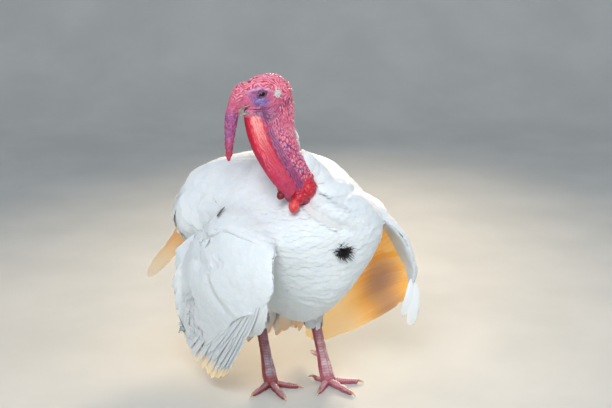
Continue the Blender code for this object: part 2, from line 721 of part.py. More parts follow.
def make_tail(look, torso):
    """A low, half spread fan: long feathers in an arched row, with coverts above and below."""
    root = vec(0, RUMP_Y - 0.060, WIDEST_Z + 0.020)
    down = unit(vec(0, 0.70, -0.71))
    stump = ball("stump", root + down * 0.050, (0.110, 0.088, 0.036),
                 (down, vec(1, 0, 0), np.cross(vec(1, 0, 0), down)), 7, 12)
    pieces = [stump]
    tiers = [(TAIL_FEATHERS, 0.315, 0.058, 0.0, 34, 0.010, 0.0024),
             (TAIL_COVERTS, 0.215, 0.070, 0.020, 30, 0.006, 0.0018),
             (TAIL_COVERTS - 2, 0.150, 0.074, 0.036, 26, 0.005, 0.0018),
             (TAIL_COVERTS - 2, 0.185, 0.066, -0.020, 26, -0.004, 0.0018)]
    for count, length, width, lift, spread, bow, thickness in tiers:
        for i in range(count):
            t = (i + 0.5) / count * 2 - 1
            swing = radians(spread) * t
            droop = radians(mix(34, 52, abs(t) ** 1.5))
            ahead = vec(sin(swing), cos(swing) * cos(droop), -sin(droop))
            up = unit(vec(sin(swing) * 0.35, 0.85, 0.80))
            start = root + vec(0.048 * t, 0, -0.012 * t * t) + up * lift
            reach = length * (1 - 0.16 * t * t)
            shape = FLIGHT if count == TAIL_FEATHERS else COVERT
            pieces.append(vane(start, start + unit(ahead) * reach, up, width, bow=bow,
                               lean=1 if t > 0 else -1, tilt=radians(7), thickness=thickness,
                               shape=shape))
    return cut(fuse("tail", pieces, look), [torso])


# Beard

def make_beard(look, torso):
    """A short tuft of coarse black bristles in the middle of the breast."""
    random = np.random.default_rng(SEED + 5)
    root = vec(0.0, BREAST_Y - 0.001, 0.380)
    out = unit(vec(-0.10, -1.0, 0.05))
    side, up = vec(1, 0, 0), vec(0, 0, 1)
    pieces = [ball("pad", root - out * 0.002, (0.009, 0.009, 0.009), (out, side, up), 5, 7)]
    for i in range(12):
        angle = 2 * pi * i / 12 + random.uniform(-0.15, 0.15)
        spread = random.uniform(0.55, 1.05)
        ahead = unit(out + (side * cos(angle) + up * sin(angle) * 0.8) * spread - up * 0.18)
        length = random.uniform(0.024, 0.036)
        start = root + (side * cos(angle) + up * sin(angle)) * 0.004
        path = [start, start + ahead * length * 0.5 + up * 0.001, start + ahead * length]
        pieces.append(lock("bristle", path, 0.0046, 0.0030, out, 4, 3))
    return cut(fuse("beard", pieces, look), [torso])


# Legs

def make_thigh(name, hock, look, torso):
    path = [hock + vec(0, -0.040, 0.115), hock + vec(0, -0.018, 0.055), hock + vec(0, 0.001, 0.004)]
    rings = tube_rings(path, lambda t: (mix(0.060, 0.0165, smoothstep(t)),
                                        mix(0.068, 0.0185, smoothstep(t))), vec(0, -1, 0), 16, 8)
    return cut(skin_rings(name, rings, look), [torso])


def make_shank(name, hock, foot, look, thigh):
    """The scaled leg, with a row of raised plates down its front."""
    heel = vec(foot[0], foot[1] + 0.004, 0.020)
    plates, sides = 7, 10
    axis = heel - hock
    rings = [oval(hock - unit(axis) * 0.010, vec(1, 0, 0), vec(0, -1, 0), 0.0085, 0.0095, sides)]
    for i in range(plates):
        for step, proud in ((0.04, 0.0), (0.20, 0.0014)):
            t = (i + step) / plates
            centre = hock + axis * t
            swell = 1 + 0.24 * smoothstep(1 - t / 0.22) + 0.40 * smoothstep((t - 0.55) / 0.45)
            ring = []
            for j in range(sides):
                a = 2 * pi * j / sides
                front = smoothstep(sin(a) * 1.6)
                r = SHANK_RADIUS * swell + proud * front
                ring.append(centre + vec(1, 0, 0) * r * 0.92 * cos(a) + vec(0, -1, 0) * r * 1.08 * sin(a))
            rings.append(ring)
    rings.append(oval(heel + unit(axis) * 0.004, vec(1, 0, 0), vec(0, -1, 0), 0.010, 0.012, sides))
    return cut(skin_rings(name, rings, look), [thigh])


TOES = (("inner", -48, 0.066, 0.0082), ("middle", 8, 0.088, 0.0092), ("outer", 62, 0.072, 0.0084))


def toe_heading(degrees_out, side):
    """A level direction, turned away from the midline from straight ahead."""
    a = radians(degrees_out)
    return vec(side * sin(a), -cos(a), 0)


def toe_rings(start, heading, length, radius, pads, drop=0.0):
    """A toe lying on the floor: flat below, with raised plates above."""
    rings, sides = [], 8
    side = np.cross(vec(0, 0, 1), heading)
    for i in range(pads):
        for step, proud in ((0.05, 0.0), (0.35, 0.0012)):
            t = (i + step) / pads
            r = radius * (1 - 0.34 * t)
            height = r * 0.70 + drop * (1 - t) ** 2
            ring = []
            for j in range(sides):
                a = 2 * pi * j / sides + pi / 2
                lift = max(0.0, sin(a))
                place = (start + heading * length * t + side * r * cos(a)
                         + vec(0, 0, height + (r + proud * lift) * sin(a)))
                place[2] = max(place[2], 0.0)
                ring.append(place)
            rings.append(ring)
    return rings


def make_foot(name, foot, side, look, shank):
    ground = vec(foot[0], foot[1], 0)
    ball_of_foot = skin_rings("sole", [
        [vec(p[0], p[1], max(p[2], 0.0)) for p in oval(ground + vec(0, 0.013 - 0.026 * t, 0.0125),
                                                      vec(1, 0, 0), vec(0, 0, 1),
                                                      0.0155 * sqrt(1 - (2 * t - 1) ** 2 * 0.86),
                                                      0.0140 * sqrt(1 - (2 * t - 1) ** 2 * 0.86), 10)]
        for t in (0.0, 0.2, 0.5, 0.8, 1.0)])
    pieces = [ball_of_foot]
    for word, turn, length, radius in TOES:
        heading = toe_heading(turn, side)
        pieces.append(skin_rings(word, toe_rings(ground - heading * 0.004, heading, length, radius, 4,
                                                 drop=0.003)))
    hind = unit(vec(-side * 0.30, 1.0, 0))
    pieces.append(skin_rings("hind", toe_rings(ground + hind * 0.002, hind, 0.040, 0.0070, 3,
                                               drop=0.007)))
    return cut(fuse(name, pieces, look), [shank])


def make_claw(name, tip, heading, look, foot):
    """A blunt, slightly hooked claw that starts inside the toe's end."""
    path = [tip - heading * 0.010 + vec(0, 0, 0.0062), tip + vec(0, 0, 0.0070),
            tip + heading * 0.009 + vec(0, 0, 0.0052), tip + heading * 0.016 + vec(0, 0, 0.0016)]
    rings = tube_rings(path, lambda t: (mix(0.0040, 0.0009, t ** 1.3), mix(0.0040, 0.0010, t ** 1.3)),
                       vec(0, 0, 1), 4, 3)
    return cut(skin_rings(name, rings, look), [foot])


def make_leg(word, hock, foot, side, looks, torso):
    white, scaled, horn = looks
    thigh = make_thigh("thigh_" + word, hock, white, torso)
    shank = make_shank("shank_" + word, hock, foot, scaled, thigh)
    toes = make_foot("foot_" + word, foot, side, scaled, shank)
    ground = vec(foot[0], foot[1], 0)
    for toe, turn, length, radius in TOES:
        heading = toe_heading(turn, side)
        make_claw(f"claw_{toe}_{word}", ground + heading * (length - 0.010), heading, horn, toes)
    hind = unit(vec(-side * 0.30, 1.0, 0))
    make_claw(f"claw_hind_{word}", ground + hind * 0.038, hind, horn, toes)
    heel = vec(foot[0], foot[1] + 0.004, 0.020)
    at = mix(hock, heel, 0.62)
    point = unit(vec(-side * 0.75, 0.70, 0.05))
    path = [at + point * 0.003, at + point * 0.014, at + point * (0.009 + SPUR_LENGTH) + vec(0, 0, 0.002)]
    spur = skin_rings("spur_" + word, tube_rings(
        path, lambda t: (mix(0.0058, 0.0012, t), mix(0.0058, 0.0012, t)), vec(0, 0, 1), 6, 4), horn)
    cut(spur, [shank])


def main():
    clear_scene()
    white = material("white_feathers", WHITE, 0.75)
    skin = material("bare_skin", SKIN_PINK, 0.45)
    red = material("wattle_skin", SKIN_RED, 0.40)
    horn = material("horn", HORN, 0.40)
    scaled = material("scaled_leg", LEG_PINK, 0.55)
    black = material("beard_bristle", BLACK, 0.50)
    eye = material("eye", EYE_BROWN, 0.08)

    torso = make_torso(white)
    neck = make_neck(red, torso)
    head = make_head(skin)
    snood = make_snood(skin, head)
    make_bill(horn, head, neck, snood)
    for word, side in (("right", -1), ("left", 1)):
        make_eye("eye_" + word, side, eye)
    make_beard(black, torso)
    make_wing("wing_right", RIGHT_WING, white, torso)
    make_wing("wing_left", LEFT_WING, white, torso)
    make_tail(white, torso)
    make_leg("right", RIGHT_HOCK, RIGHT_FOOT, -1, (white, scaled, horn), torso)
    make_leg("left", LEFT_HOCK, LEFT_FOOT, 1, (white, scaled, horn), torso)
    for obj in bpy.context.scene.objects:
        for vertex in obj.data.vertices:
            vertex.co = vertex.co + type(vertex.co)(TO_BOX_CENTRE)


main()
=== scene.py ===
# %% [markdown]
# A broad-breasted white turkey tom stands half in display: wings lowered, tail low and half
# spread, bare head turned to its right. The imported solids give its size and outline. Here the
# solids are dressed. One skin takes the place of the flesh, and feathers are laid over it one
# by one, because at life size a viewer sees the edge of each feather.

from math import cos, pi, radians, sin

import bpy
import numpy as np
from mathutils import Matrix, Vector, noise
from mathutils.bvhtree import BVHTree
from mathutils.kdtree import KDTree


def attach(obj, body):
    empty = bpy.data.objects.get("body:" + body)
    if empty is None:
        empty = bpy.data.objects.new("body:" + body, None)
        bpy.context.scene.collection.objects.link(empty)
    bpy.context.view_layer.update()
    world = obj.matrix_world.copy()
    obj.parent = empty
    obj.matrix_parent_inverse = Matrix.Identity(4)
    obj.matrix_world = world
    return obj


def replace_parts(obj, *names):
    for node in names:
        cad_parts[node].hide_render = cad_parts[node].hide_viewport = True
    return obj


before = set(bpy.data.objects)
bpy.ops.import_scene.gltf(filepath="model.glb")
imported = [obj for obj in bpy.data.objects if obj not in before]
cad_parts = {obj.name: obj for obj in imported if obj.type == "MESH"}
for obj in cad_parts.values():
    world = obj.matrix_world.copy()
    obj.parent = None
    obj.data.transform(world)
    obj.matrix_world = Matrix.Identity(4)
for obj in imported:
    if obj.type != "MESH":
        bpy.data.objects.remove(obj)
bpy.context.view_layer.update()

# %% [markdown]
# Every place below is given in the bird's own stance: +Z up, the breast towards -Y, the bird's
# left at +X, the floor at zero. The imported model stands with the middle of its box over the
# origin, so each finished piece is moved by one fixed step. The step is the same for all.

# %% Places and curves
TO_BOX_CENTRE = np.array([-0.0121, -0.1403, 0.0])
UP = np.array([0.0, 0.0, 1.0])


def vec(*values):
    return np.array(values, float)


def unit(v):
    v = np.asarray(v, float)
    return v / np.maximum(np.linalg.norm(v, axis=-1, keepdims=True), 1e-12)


def dot(a, b):
    return np.sum(a * b, axis=-1, keepdims=True)


def mix(a, b, t):
    return np.asarray(a, float) * (1 - t) + np.asarray(b, float) * t


def ramp(x, low, high):
    """0 below low, 1 above high, and a smooth rise between them."""
    t = np.clip((np.asarray(x, float) - low) / (high - low), 0, 1)
    return t * t * (3 - 2 * t)


def along(points, t):
    """Points at t, from 0 to 1, on a smooth curve through the given points."""
    p = np.asarray(points, float)
    p = np.vstack([2 * p[:1] - p[1:2], p, 2 * p[-1:] - p[-2:-1]])
    x = np.clip(np.asarray(t, float), 0, 1) * (len(p) - 3)
    i = np.minimum(x.astype(int), len(p) - 4)
    x = (x - i)[..., None]
    a, b, c, d = p[i], p[i + 1], p[i + 2], p[i + 3]
    return 0.5 * (2 * b + (c - a) * x + (2 * a - 5 * b + 4 * c - d) * x ** 2
                  + (3 * b - a - 3 * c + d) * x ** 3)


def srgb(red, green, blue):
    """A colour as a paint card gives it, turned into the light values that shaders use."""
    c = np.array([red, green, blue]) / 255
    return np.where(c <= 0.04045, c / 12.92, ((c + 0.055) / 1.055) ** 2.4)


# %% [markdown]
# A mesh can be typed in Blender point by point, but this bird has some thousands of feathers,
# so the points are worked out in arrays and handed over in one go. Faces come as a list of
# arrays, one array for quads and one for triangles.

# %% Turn arrays into meshes
def build_mesh(name, points, faces):
    points = np.asarray(points, float)
    faces = [np.asarray(f, int) for f in faces if len(f)]
    corners = np.concatenate([f.ravel() for f in faces])
    sizes = np.concatenate([np.full(len(f), f.shape[1]) for f in faces])
    mesh = bpy.data.meshes.new(name)
    mesh.vertices.add(len(points))
    mesh.vertices.foreach_set("co", points.astype(np.float32).ravel())
    mesh.loops.add(len(corners))
    mesh.loops.foreach_set("vertex_index", corners.astype(np.int32))
    mesh.polygons.add(len(sizes))
    mesh.polygons.foreach_set("loop_start", (np.cumsum(sizes) - sizes).astype(np.int32))
    mesh.polygons.foreach_set("use_smooth", np.full(len(sizes), True))
    mesh.update(calc_edges=True)
    return mesh


def add_object(name, data):
    obj = bpy.data.objects.new(name, data)
    bpy.context.scene.collection.objects.link(obj)
    return obj


def add_piece(name, points, faces, look, slot):
    """One visible piece, moved from the bird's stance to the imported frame."""
    obj = add_object(name, build_mesh(name, np.asarray(points) + TO_BOX_CENTRE, faces))
    obj.data.materials.append(look)
    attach(obj, "root")
    return obj


def set_attribute(mesh, name, kind, domain, values):
    made = mesh.attributes.new(name, kind, domain)
    field = {"FLOAT": "value", "FLOAT_COLOR": "color", "FLOAT_VECTOR": "vector"}[kind]
    made.data.foreach_set(field, np.asarray(values, np.float32).ravel())


def set_paint(obj, colours):
    """A colour for each point, stored as the attribute "paint" that the shaders read."""
    set_attribute(obj.data, "paint", "FLOAT_COLOR", "POINT",
                  np.column_stack([colours, np.ones(len(colours))]))


def set_uv(mesh, name, per_corner):
    layer = mesh.uv_layers.new(name=name)
    layer.data.foreach_set("uv", np.asarray(per_corner, np.float32).ravel())


def node_arrays(name):
    """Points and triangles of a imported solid, in the bird's stance."""
    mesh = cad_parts[name].data
    points = np.empty(len(mesh.vertices) * 3, np.float32)
    mesh.vertices.foreach_get("co", points)
    mesh.calc_loop_triangles()
    faces = np.empty(len(mesh.loop_triangles) * 3, np.int32)
    mesh.loop_triangles.foreach_get("vertices", faces)
    return points.reshape(-1, 3).astype(float) - TO_BOX_CENTRE, [faces.reshape(-1, 3)]


def tree_of(places):
    """A search tree that finds the nearest of some places."""
    tree = KDTree(len(places))
    for i, place in enumerate(places):
        tree.insert(place, i)
    tree.balance()
    return tree


# %% [markdown]
# Neck, snood, toes, claws and brows are all rounded lengths of flesh or horn. Curves with a bevel
# would make round tubes, but these are flattened, and swell and taper along their way. So each
# is lofted from rings of points, and the arrays stay at hand for the steps that follow.

# %% Draw tubes and rounded lumps
def loft(rings):
    """A closed tube through rings that all have the same number of points."""
    rings = np.asarray(rings, float)
    count, sides = rings.shape[:2]
    a = np.arange(count - 1)[:, None] * sides
    j = np.arange(sides)[None, :]
    k = (j + 1) % sides
    quads = np.stack([a + j, a + k, a + sides + k, a + sides + j], -1).reshape(-1, 4)
    ends = np.stack([np.arange(sides)[::-1], (count - 1) * sides + np.arange(sides)])
    return rings.reshape(-1, 3), [quads, ends]


def frames(path, front):
    """The direction of a path and two directions across it, front first."""
    ahead = unit(np.gradient(path, axis=0))
    front = np.broadcast_to(front, path.shape)
    front = unit(front - ahead * dot(front, ahead))
    return ahead, front, np.cross(ahead, front)


def tube(path, sizes, front, sides=24, stations=None):
    """A closed tube along a path. sizes(t) gives the half widths across and to the front."""
    t = np.linspace(0, 1, stations or len(path))
    path = along(path, t) if stations else np.asarray(path, float)
    if callable(front):
        front = np.array([front(x) for x in t])
    ahead, forth, side = frames(path, front)
    a = np.linspace(0, 2 * pi, sides, endpoint=False)
    size = np.array([sizes(x) for x in t])
    rings = (path[:, None] + side[:, None] * (size[:, :1] * np.cos(a))[..., None]
             + forth[:, None] * (size[:, 1:] * np.sin(a))[..., None])
    return loft(rings)


def ellipsoid(centre, radii, axes, sides=20, rings=12):
    lat = np.linspace(0.06, pi - 0.06, rings)[:, None, None]
    lon = np.linspace(0, 2 * pi, sides, endpoint=False)[None, :, None]
    x, y, z = (unit(a) for a in axes)
    return loft(centre + x * radii[0] * np.cos(lat) + y * radii[1] * np.sin(lat) * np.cos(lon)
                + z * radii[2] * np.sin(lat) * np.sin(lon))


def join(parts):
    """Several shapes as one set of points and faces."""
    points, faces, start = [], [], 0
    for p, f in parts:
        points.append(p)
        faces += [g + start for g in f]
        start += len(p)
    return np.vstack(points), faces


# %% [markdown]
# Flesh has no seams. The usual way in Blender to melt several closed shapes into one is the
# Remesh modifier in voxel mode: it keeps the outer surface alone, as a net of even squares. A
# few rounds of smoothing then blend the joints, as skin does over muscle.

# %% Melt shapes into one skin
def melt(parts, voxel, rounds):
    """One even skin of quads round several closed shapes, smoothed."""
    points, faces = join(parts)
    obj = add_object("melting", build_mesh("melting", points, faces))
    remesh = obj.modifiers.new("skin", "REMESH")
    remesh.mode = "VOXEL"
    remesh.voxel_size = voxel
    mesh = obj.evaluated_get(bpy.context.evaluated_depsgraph_get()).to_mesh()
    points = np.empty(len(mesh.vertices) * 3, np.float32)
    mesh.vertices.foreach_get("co", points)
    quads = np.empty(len(mesh.loops), np.int32)
    mesh.loops.foreach_get("vertex_index", quads)
    points, quads = points.reshape(-1, 3).astype(float), quads.reshape(-1, 4)
    bpy.data.objects.remove(obj)
    return relax(points, quads, rounds), quads


def spread(quads, values, count):
    """Adds up, for each point, the values of the corners that follow and precede it."""
    total = np.zeros((count, values.shape[1]))
    for turn in (1, 3):
        beside = values[np.roll(quads, turn, 1).ravel()]
        for k in range(values.shape[1]):
            total[:, k] += np.bincount(quads.ravel(), beside[:, k], count)
    return total


def relax(points, quads, rounds, hold=0.5):
    """Laplacian smoothing: each point moves towards the mean of its neighbours."""
    count = len(points)
    neighbours = 2 * np.bincount(quads.ravel(), minlength=count)[:, None]
    for _ in range(rounds):
        points = mix(spread(quads, points, count) / neighbours, points, hold)
    return points


def point_normals(points, quads):
    across = np.cross(points[quads[:, 2]] - points[quads[:, 0]],
                      points[quads[:, 3]] - points[quads[:, 1]])
    total = np.zeros_like(points)
    for k in range(3):
        total[:, k] = np.bincount(quads.ravel(), np.repeat(across[:, k], 4), len(points))
    return unit(total)


# %% [markdown]
# The head is turned to the bird's right, past the viewer, so its left side shows. Everything on
# the head is placed in the head's own frame: ahead along the bill, left, and up, starting from
# the point between the eyes. That keeps the eye, the ear and the lids in line when the head
# is tilted.

# %% The head's own frame
HEAD_CENTRE = vec(-0.129, -0.079, 0.708)
HEAD_TURN = radians(108)
HEAD_PITCH = radians(21)
EYE_RADIUS = 0.0068
EYE_OUT = 0.0172

level = vec(-sin(HEAD_TURN), -cos(HEAD_TURN), 0)
HEAD_LEFT = np.cross(UP, level)
HEAD_AHEAD = level * cos(HEAD_PITCH) - UP * sin(HEAD_PITCH)
HEAD_UP = level * sin(HEAD_PITCH) + UP * cos(HEAD_PITCH)
HEAD_AXES = (HEAD_AHEAD, HEAD_LEFT, HEAD_UP)


def on_head(ahead, left, up):
    return (HEAD_CENTRE + HEAD_AHEAD * np.asarray(ahead, float)[..., None]
            + HEAD_LEFT * np.asarray(left, float)[..., None]
            + HEAD_UP * np.asarray(up, float)[..., None])


def in_head(points):
    """How far ahead, left and up each point lies in the head's frame."""
    rel = points - HEAD_CENTRE
    return rel @ HEAD_AHEAD, rel @ HEAD_LEFT, rel @ HEAD_UP


# %% [markdown]
# A tom's head and neck are bare. The skull carries a fleshy finger above the bill, the snood,
# which hangs past the bill when the bird is roused. A smooth fold of skin, the wattle, runs down
# the throat. The rest of the neck is covered with beads of red flesh, the caruncles, and at its
# foot they swell into large bulbs. All of this is one skin, so the plain forms are melted first
# and the wrinkles and beads are raised in its surface afterwards.

# %% Plain forms of the head and neck
NECK_PATH = np.array([(-0.045, -0.106, 0.468), (-0.070, -0.134, 0.518), (-0.092, -0.122, 0.570),
                      (-0.100, -0.098, 0.620), (-0.102, -0.078, 0.668), (-0.106, -0.072, 0.698)])
NECK_RADIUS = 0.0325
# middle, radius and stretch downwards of each bulb, the big side one first
NECK_BULBS = [((-0.0615, -0.157, 0.514), 0.0185, 1.16), ((-0.0995, -0.166, 0.4835), 0.0112, 1.35),
              ((-0.1205, -0.148, 0.5045), 0.0080, 1.15), ((-0.084, -0.160, 0.498), 0.0130, 1.1),
              ((-0.050, -0.142, 0.533), 0.0120, 1.0), ((-0.088, -0.098, 0.505), 0.0110, 1.1)]
NAPE_STOPS = np.array([0.10, 0.22, 0.40, 0.60, 0.80, 0.98])
NAPE_DEPTHS = np.array([0.003, 0.008, 0.0115, 0.0135, 0.0225, 0.0255])
SNOOD_ROOT_PATH = on_head([0.014, 0.032, 0.047], [-0.001, -0.002, -0.001], [0.014, 0.0165, 0.006])
SNOOD_PATH = np.array([*SNOOD_ROOT_PATH, (-0.1772, -0.0585, 0.6800), (-0.1838, -0.0575, 0.6620),
                       (-0.1858, -0.0565, 0.6440), (-0.1880, -0.0560, 0.6220),
                       (-0.1895, -0.0558, 0.5990), (-0.1902, -0.0556, 0.5800),
                       (-0.1908, -0.0555, 0.5665)])
SNOOD_HALF_WIDTHS = (0.0150, 0.0180, 0.0165, 0.0145, 0.0134, 0.0126, 0.0104, 0.0084, 0.0062, 0.0018)
# ahead of the eyes, half width, lower edge, upper edge, from the nape to the bill's root
HEAD_SECTIONS = np.array([(-0.058, 0.0160, -0.034, 0.000), (-0.050, 0.0215, -0.044, 0.015),
                          (-0.036, 0.0238, -0.050, 0.0275), (-0.018, 0.0242, -0.048, 0.0335),
                          (0.000, 0.0232, -0.0445, 0.0345), (0.014, 0.0205, -0.0385, 0.0325),
                          (0.024, 0.0170, -0.0345, 0.0285), (0.031, 0.0132, -0.0290, 0.0240),
                          (0.037, 0.0105, -0.0160, 0.0180), (0.044, 0.0070, -0.0080, 0.0080)])
WATTLE_STOPS = np.array([0.16, 0.34, 0.55, 0.76, 0.92])
WATTLE_DEPTHS = np.array([0.0375, 0.0480, 0.0455, 0.0400, 0.0260])
HEAD_VOXEL = 0.00130


def neck_front(t):
    """The way the throat faces at t along the neck; it turns with the head."""
    return unit(mix(unit(vec(-0.82, -0.57, 0)), level, ramp(t, 0, 1)))


def neck_forms():
    sunk = np.vstack([[(-0.034, -0.086, 0.440)], NECK_PATH])
    column = tube(sunk, lambda t: (NECK_RADIUS * (1.10 - 0.16 * t),
                                   NECK_RADIUS * (1.12 - 0.14 * t)), neck_front, 48, 40)
    throat = np.array([along(NECK_PATH, t) + neck_front(t) * d
                       for t, d in zip(WATTLE_STOPS, WATTLE_DEPTHS)])
    wattle = tube(throat, lambda t: (0.0125 + 0.004 * sin(pi * t), 0.018 + 0.004 * sin(pi * t)),
                  neck_front, 30, 30)
    nape = np.array([along(NECK_PATH, t) - neck_front(t) * d
                     for t, d in zip(NAPE_STOPS, NAPE_DEPTHS)])
    nape = np.vstack([nape, on_head(-0.040, 0, -0.006)])
    parts = [column, wattle, tube(nape, lambda t: (0.0275 - 0.004 * t, 0.0262 - 0.002 * t),
                                  neck_front, 40, 40)]
    for across in (-1, 1):
        fold = [p + np.cross(neck_front(t), UP) * across * 0.013 - neck_front(t) * 0.012
                for p, t in zip(throat, WATTLE_STOPS)]
        parts.append(tube(fold, lambda t: (0.0062, 0.010), neck_front, 20, 24))
    down = unit(vec(-0.35, -0.35, -1))
    side = unit(np.cross(down, UP))
    for place, size, hang in NECK_BULBS:
        parts.append(ellipsoid(np.array(place), (size * hang, size, size),
                               (down, side, np.cross(down, side)), 28, 18))
    return parts


def snood_half_width(t):
    return np.interp(t * 9, range(10), SNOOD_HALF_WIDTHS)


def head_forms():
    t = np.linspace(0, 1, 34)
    section = along(HEAD_SECTIONS, t)
    a = np.linspace(0, 2 * pi, 40, endpoint=False)
    middle = (section[:, 2] + section[:, 3]) / 2
    rise = (section[:, 3] - section[:, 2]) / 2
    rings = on_head(section[:, :1] + 0 * a, section[:, 1:2] * np.cos(a),
                    middle[:, None] + rise[:, None] * np.sin(a))
    snood_base = ellipsoid(on_head(0.0455, 0.0, -0.0065), (0.0125, 0.0100, 0.0105), HEAD_AXES)
    parts = [loft(rings), snood_base]
    brow_axes = (unit(HEAD_AHEAD - 0.12 * HEAD_UP), HEAD_LEFT, unit(HEAD_UP + 0.12 * HEAD_AHEAD))
    swellings = (((0.000, 0.0172, 0.0115), (0.017, 0.0062, 0.0052), brow_axes),       # brow
                 ((-0.012, 0.0150, -0.0235), (0.019, 0.0085, 0.0125), HEAD_AXES),     # cheek
                 ((0.010, 0.0135, -0.0240), (0.012, 0.0058, 0.0042), HEAD_AXES))      # lip
    for side in (-1, 1):
        for (ahead, left, up), radii, axes in swellings:
            parts.append(ellipsoid(on_head(ahead, side * left, up), radii, axes))
    return parts + [tube(SNOOD_PATH, lambda t: (0.90 * snood_half_width(t), snood_half_width(t)),
                         level, 28, 60)]


head_points, head_quads = melt(neck_forms() + head_forms(), HEAD_VOXEL, 6)
print("bare skin:", len(head_points), "points")

# %% [markdown]
# To raise wrinkles where they belong, each point of the skin needs to know where it is: on the
# crown, the cheek, the wattle, the neck, a bulb or the snood. Soft masks from 0 to 1 say so,
# worked out from the head's frame and from the curve down the middle of the neck.

# %% Where each point of the bare skin lies
def nearest_on_path(points, path, front):
    """For each point: t along the path, how far out, the angle from the front, and the gap."""
    fine = np.linspace(0, 1, 240)
    centre = along(path, fine)
    tree = tree_of(centre)
    near = np.array([tree.find(p)[1] for p in points.tolist()])
    facing = np.array([front(t) for t in fine]) if callable(front) else front
    ahead, forth, side = frames(centre, facing)
    rel = points - centre[near]
    x, y = dot(rel, forth[near])[:, 0], dot(rel, side[near])[:, 0]
    return fine[near], np.hypot(x, y), np.arctan2(y, x), np.linalg.norm(rel, axis=1)


# heights of the jaw line and of the brow at distances ahead of the eyes
JAW_LINE = np.array([(-0.050, -0.015), (-0.036, -0.024), (-0.022, -0.044), (-0.008, -0.057),
                     (0.008, -0.059), (0.016, -0.048), (0.027, -0.0365), (0.050, -0.0330)])
BROW_LINE = np.array([(-0.036, -0.012), (-0.0225, -0.0020), (-0.006, 0.0120), (0.014, 0.0155),
                      (0.0305, 0.0130), (0.045, 0.002)])


class BareSkin:
    """Masks over the bare skin, each from 0 to 1."""

    def __init__(self, points):
        self.a, self.l, self.u = in_head(points)
        self.t, self.out, self.angle, _ = nearest_on_path(points, NECK_PATH, neck_front)
        self.snood_t, _, _, gap = nearest_on_path(points, SNOOD_PATH, level)
        self.snood = (ramp(self.snood_t, 0.16, 0.34)
                      * ramp(-gap / snood_half_width(self.snood_t), -1.7, -1.25))
        self.bulbs = np.zeros((len(NECK_BULBS), len(points)))
        for i, (place, size, hang) in enumerate(NECK_BULBS):
            reach = np.linalg.norm((points - np.array(place)) / (1, 1, hang), axis=1) / size
            self.bulbs[i] = ramp(-reach, -1.30, -1.05)
        self.bulb = self.bulbs.max(0)
        jaw = np.interp(self.a, *JAW_LINE.T)
        self.head = ramp(self.u - jaw, -0.003, 0.003) * (1 - self.snood) * ramp(self.t, 0.60, 0.66)
        depth = np.interp(self.t, WATTLE_STOPS, WATTLE_DEPTHS) + 0.020
        self.forward = self.out * np.cos(self.angle) / depth
        bare = (1 - self.head) * (1 - self.bulb) * (1 - self.snood)
        fold = ramp(self.forward, 0.44, 0.52)
        self.wattle = fold * bare * ramp(self.t, 0.04, 0.12)
        self.strip = ramp(self.forward, 0.22, 0.34) * (1 - fold) * bare * ramp(self.t, 0.02, 0.10)
        self.eye_gap = np.hypot(self.a / 0.0060, (self.u + 0.0002 + 0.10 * self.a) / 0.0036)
        self.side = ramp(np.abs(self.l), 0.010, 0.014)
        behind = ramp(-self.a, 0.030, 0.044)
        above = ramp(self.u - np.interp(self.a, *BROW_LINE.T), -0.001, 0.004)
        self.crown = self.head * np.maximum(above, behind)
        self.face = self.head * (1 - self.crown)
        smooth = (self.wattle, self.strip, self.face, self.snood, self.bulb)
        self.beaded = np.prod([1 - mask for mask in smooth], axis=0)
        self.beaded *= np.maximum(1 - self.head, ramp(-self.a, 0.034, 0.050))


def turbulence(points, scale, depth=3):
    """Smooth noise between about -1 and 1 at each point; scale is the size of its lumps."""
    scaled = (points / np.asarray(scale, float)).tolist()
    return np.array([noise.fractal(p, 1.0, 2.0, depth, noise_basis="PERLIN_ORIGINAL")
                     for p in scaled])


def waves(phase, sharp=0.7):
    """Rounded ridges side by side with narrow creases between them, from 0 to 1."""
    return np.abs(np.cos(pi * phase)) ** sharp


skin = BareSkin(head_points)
print("share of crown, face, wattle and beads:",
      [round(float(m.mean()), 3) for m in (skin.crown, skin.face, skin.wattle, skin.beaded)])

# %% [markdown]
# Caruncles crowd each other like cobbles: each is a small dome, and a crease shows where two
# meet. That is what one gets by scattering points that keep a distance, and then raising every
# place on the skin by how much nearer it lies to its own point than to the next one. On the
# upper neck they are drawn out downwards, so heights are squeezed before distances are taken.
# Sculpting each one by hand would give the same look, but far too slowly for so many.

# %% Scatter and raise the beads
def scattered(points, gap, seed):
    """Indices of points, in random order, that each keep their own gap to those before."""
    cell = gap.max()
    keys = np.floor(points / cell).astype(int).tolist()
    places, gaps = points.tolist(), (gap ** 2).tolist()
    near = [(i, j, k) for i in (-1, 0, 1) for j in (-1, 0, 1) for k in (-1, 0, 1)]
    grid, picked = {}, []
    for n in np.random.default_rng(seed).permutation(len(points)).tolist():
        (x, y, z), (p, q, r), limit = keys[n], places[n], gaps[n]
        if any((p - a) ** 2 + (q - b) ** 2 + (r - c) ** 2 < limit
               for i, j, k in near for a, b, c in grid.get((x + i, y + j, z + k), ())):
            continue
        grid.setdefault((x, y, z), []).append((p, q, r))
        picked.append(n)
    return np.array(picked)


def squeezed(points):
    """Heights drawn together where the beads are long."""
    z = np.linspace(0.42, 0.78, 60)
    stretch = 1.25 + 1.15 * ramp(z, 0.51, 0.58) - 0.55 * ramp(z, 0.67, 0.72)
    squeezed_z = np.concatenate([[0], np.cumsum(np.diff(z) / stretch[1:])])
    return np.column_stack([points[:, 0], points[:, 1], np.interp(points[:, 2], z, squeezed_z)])


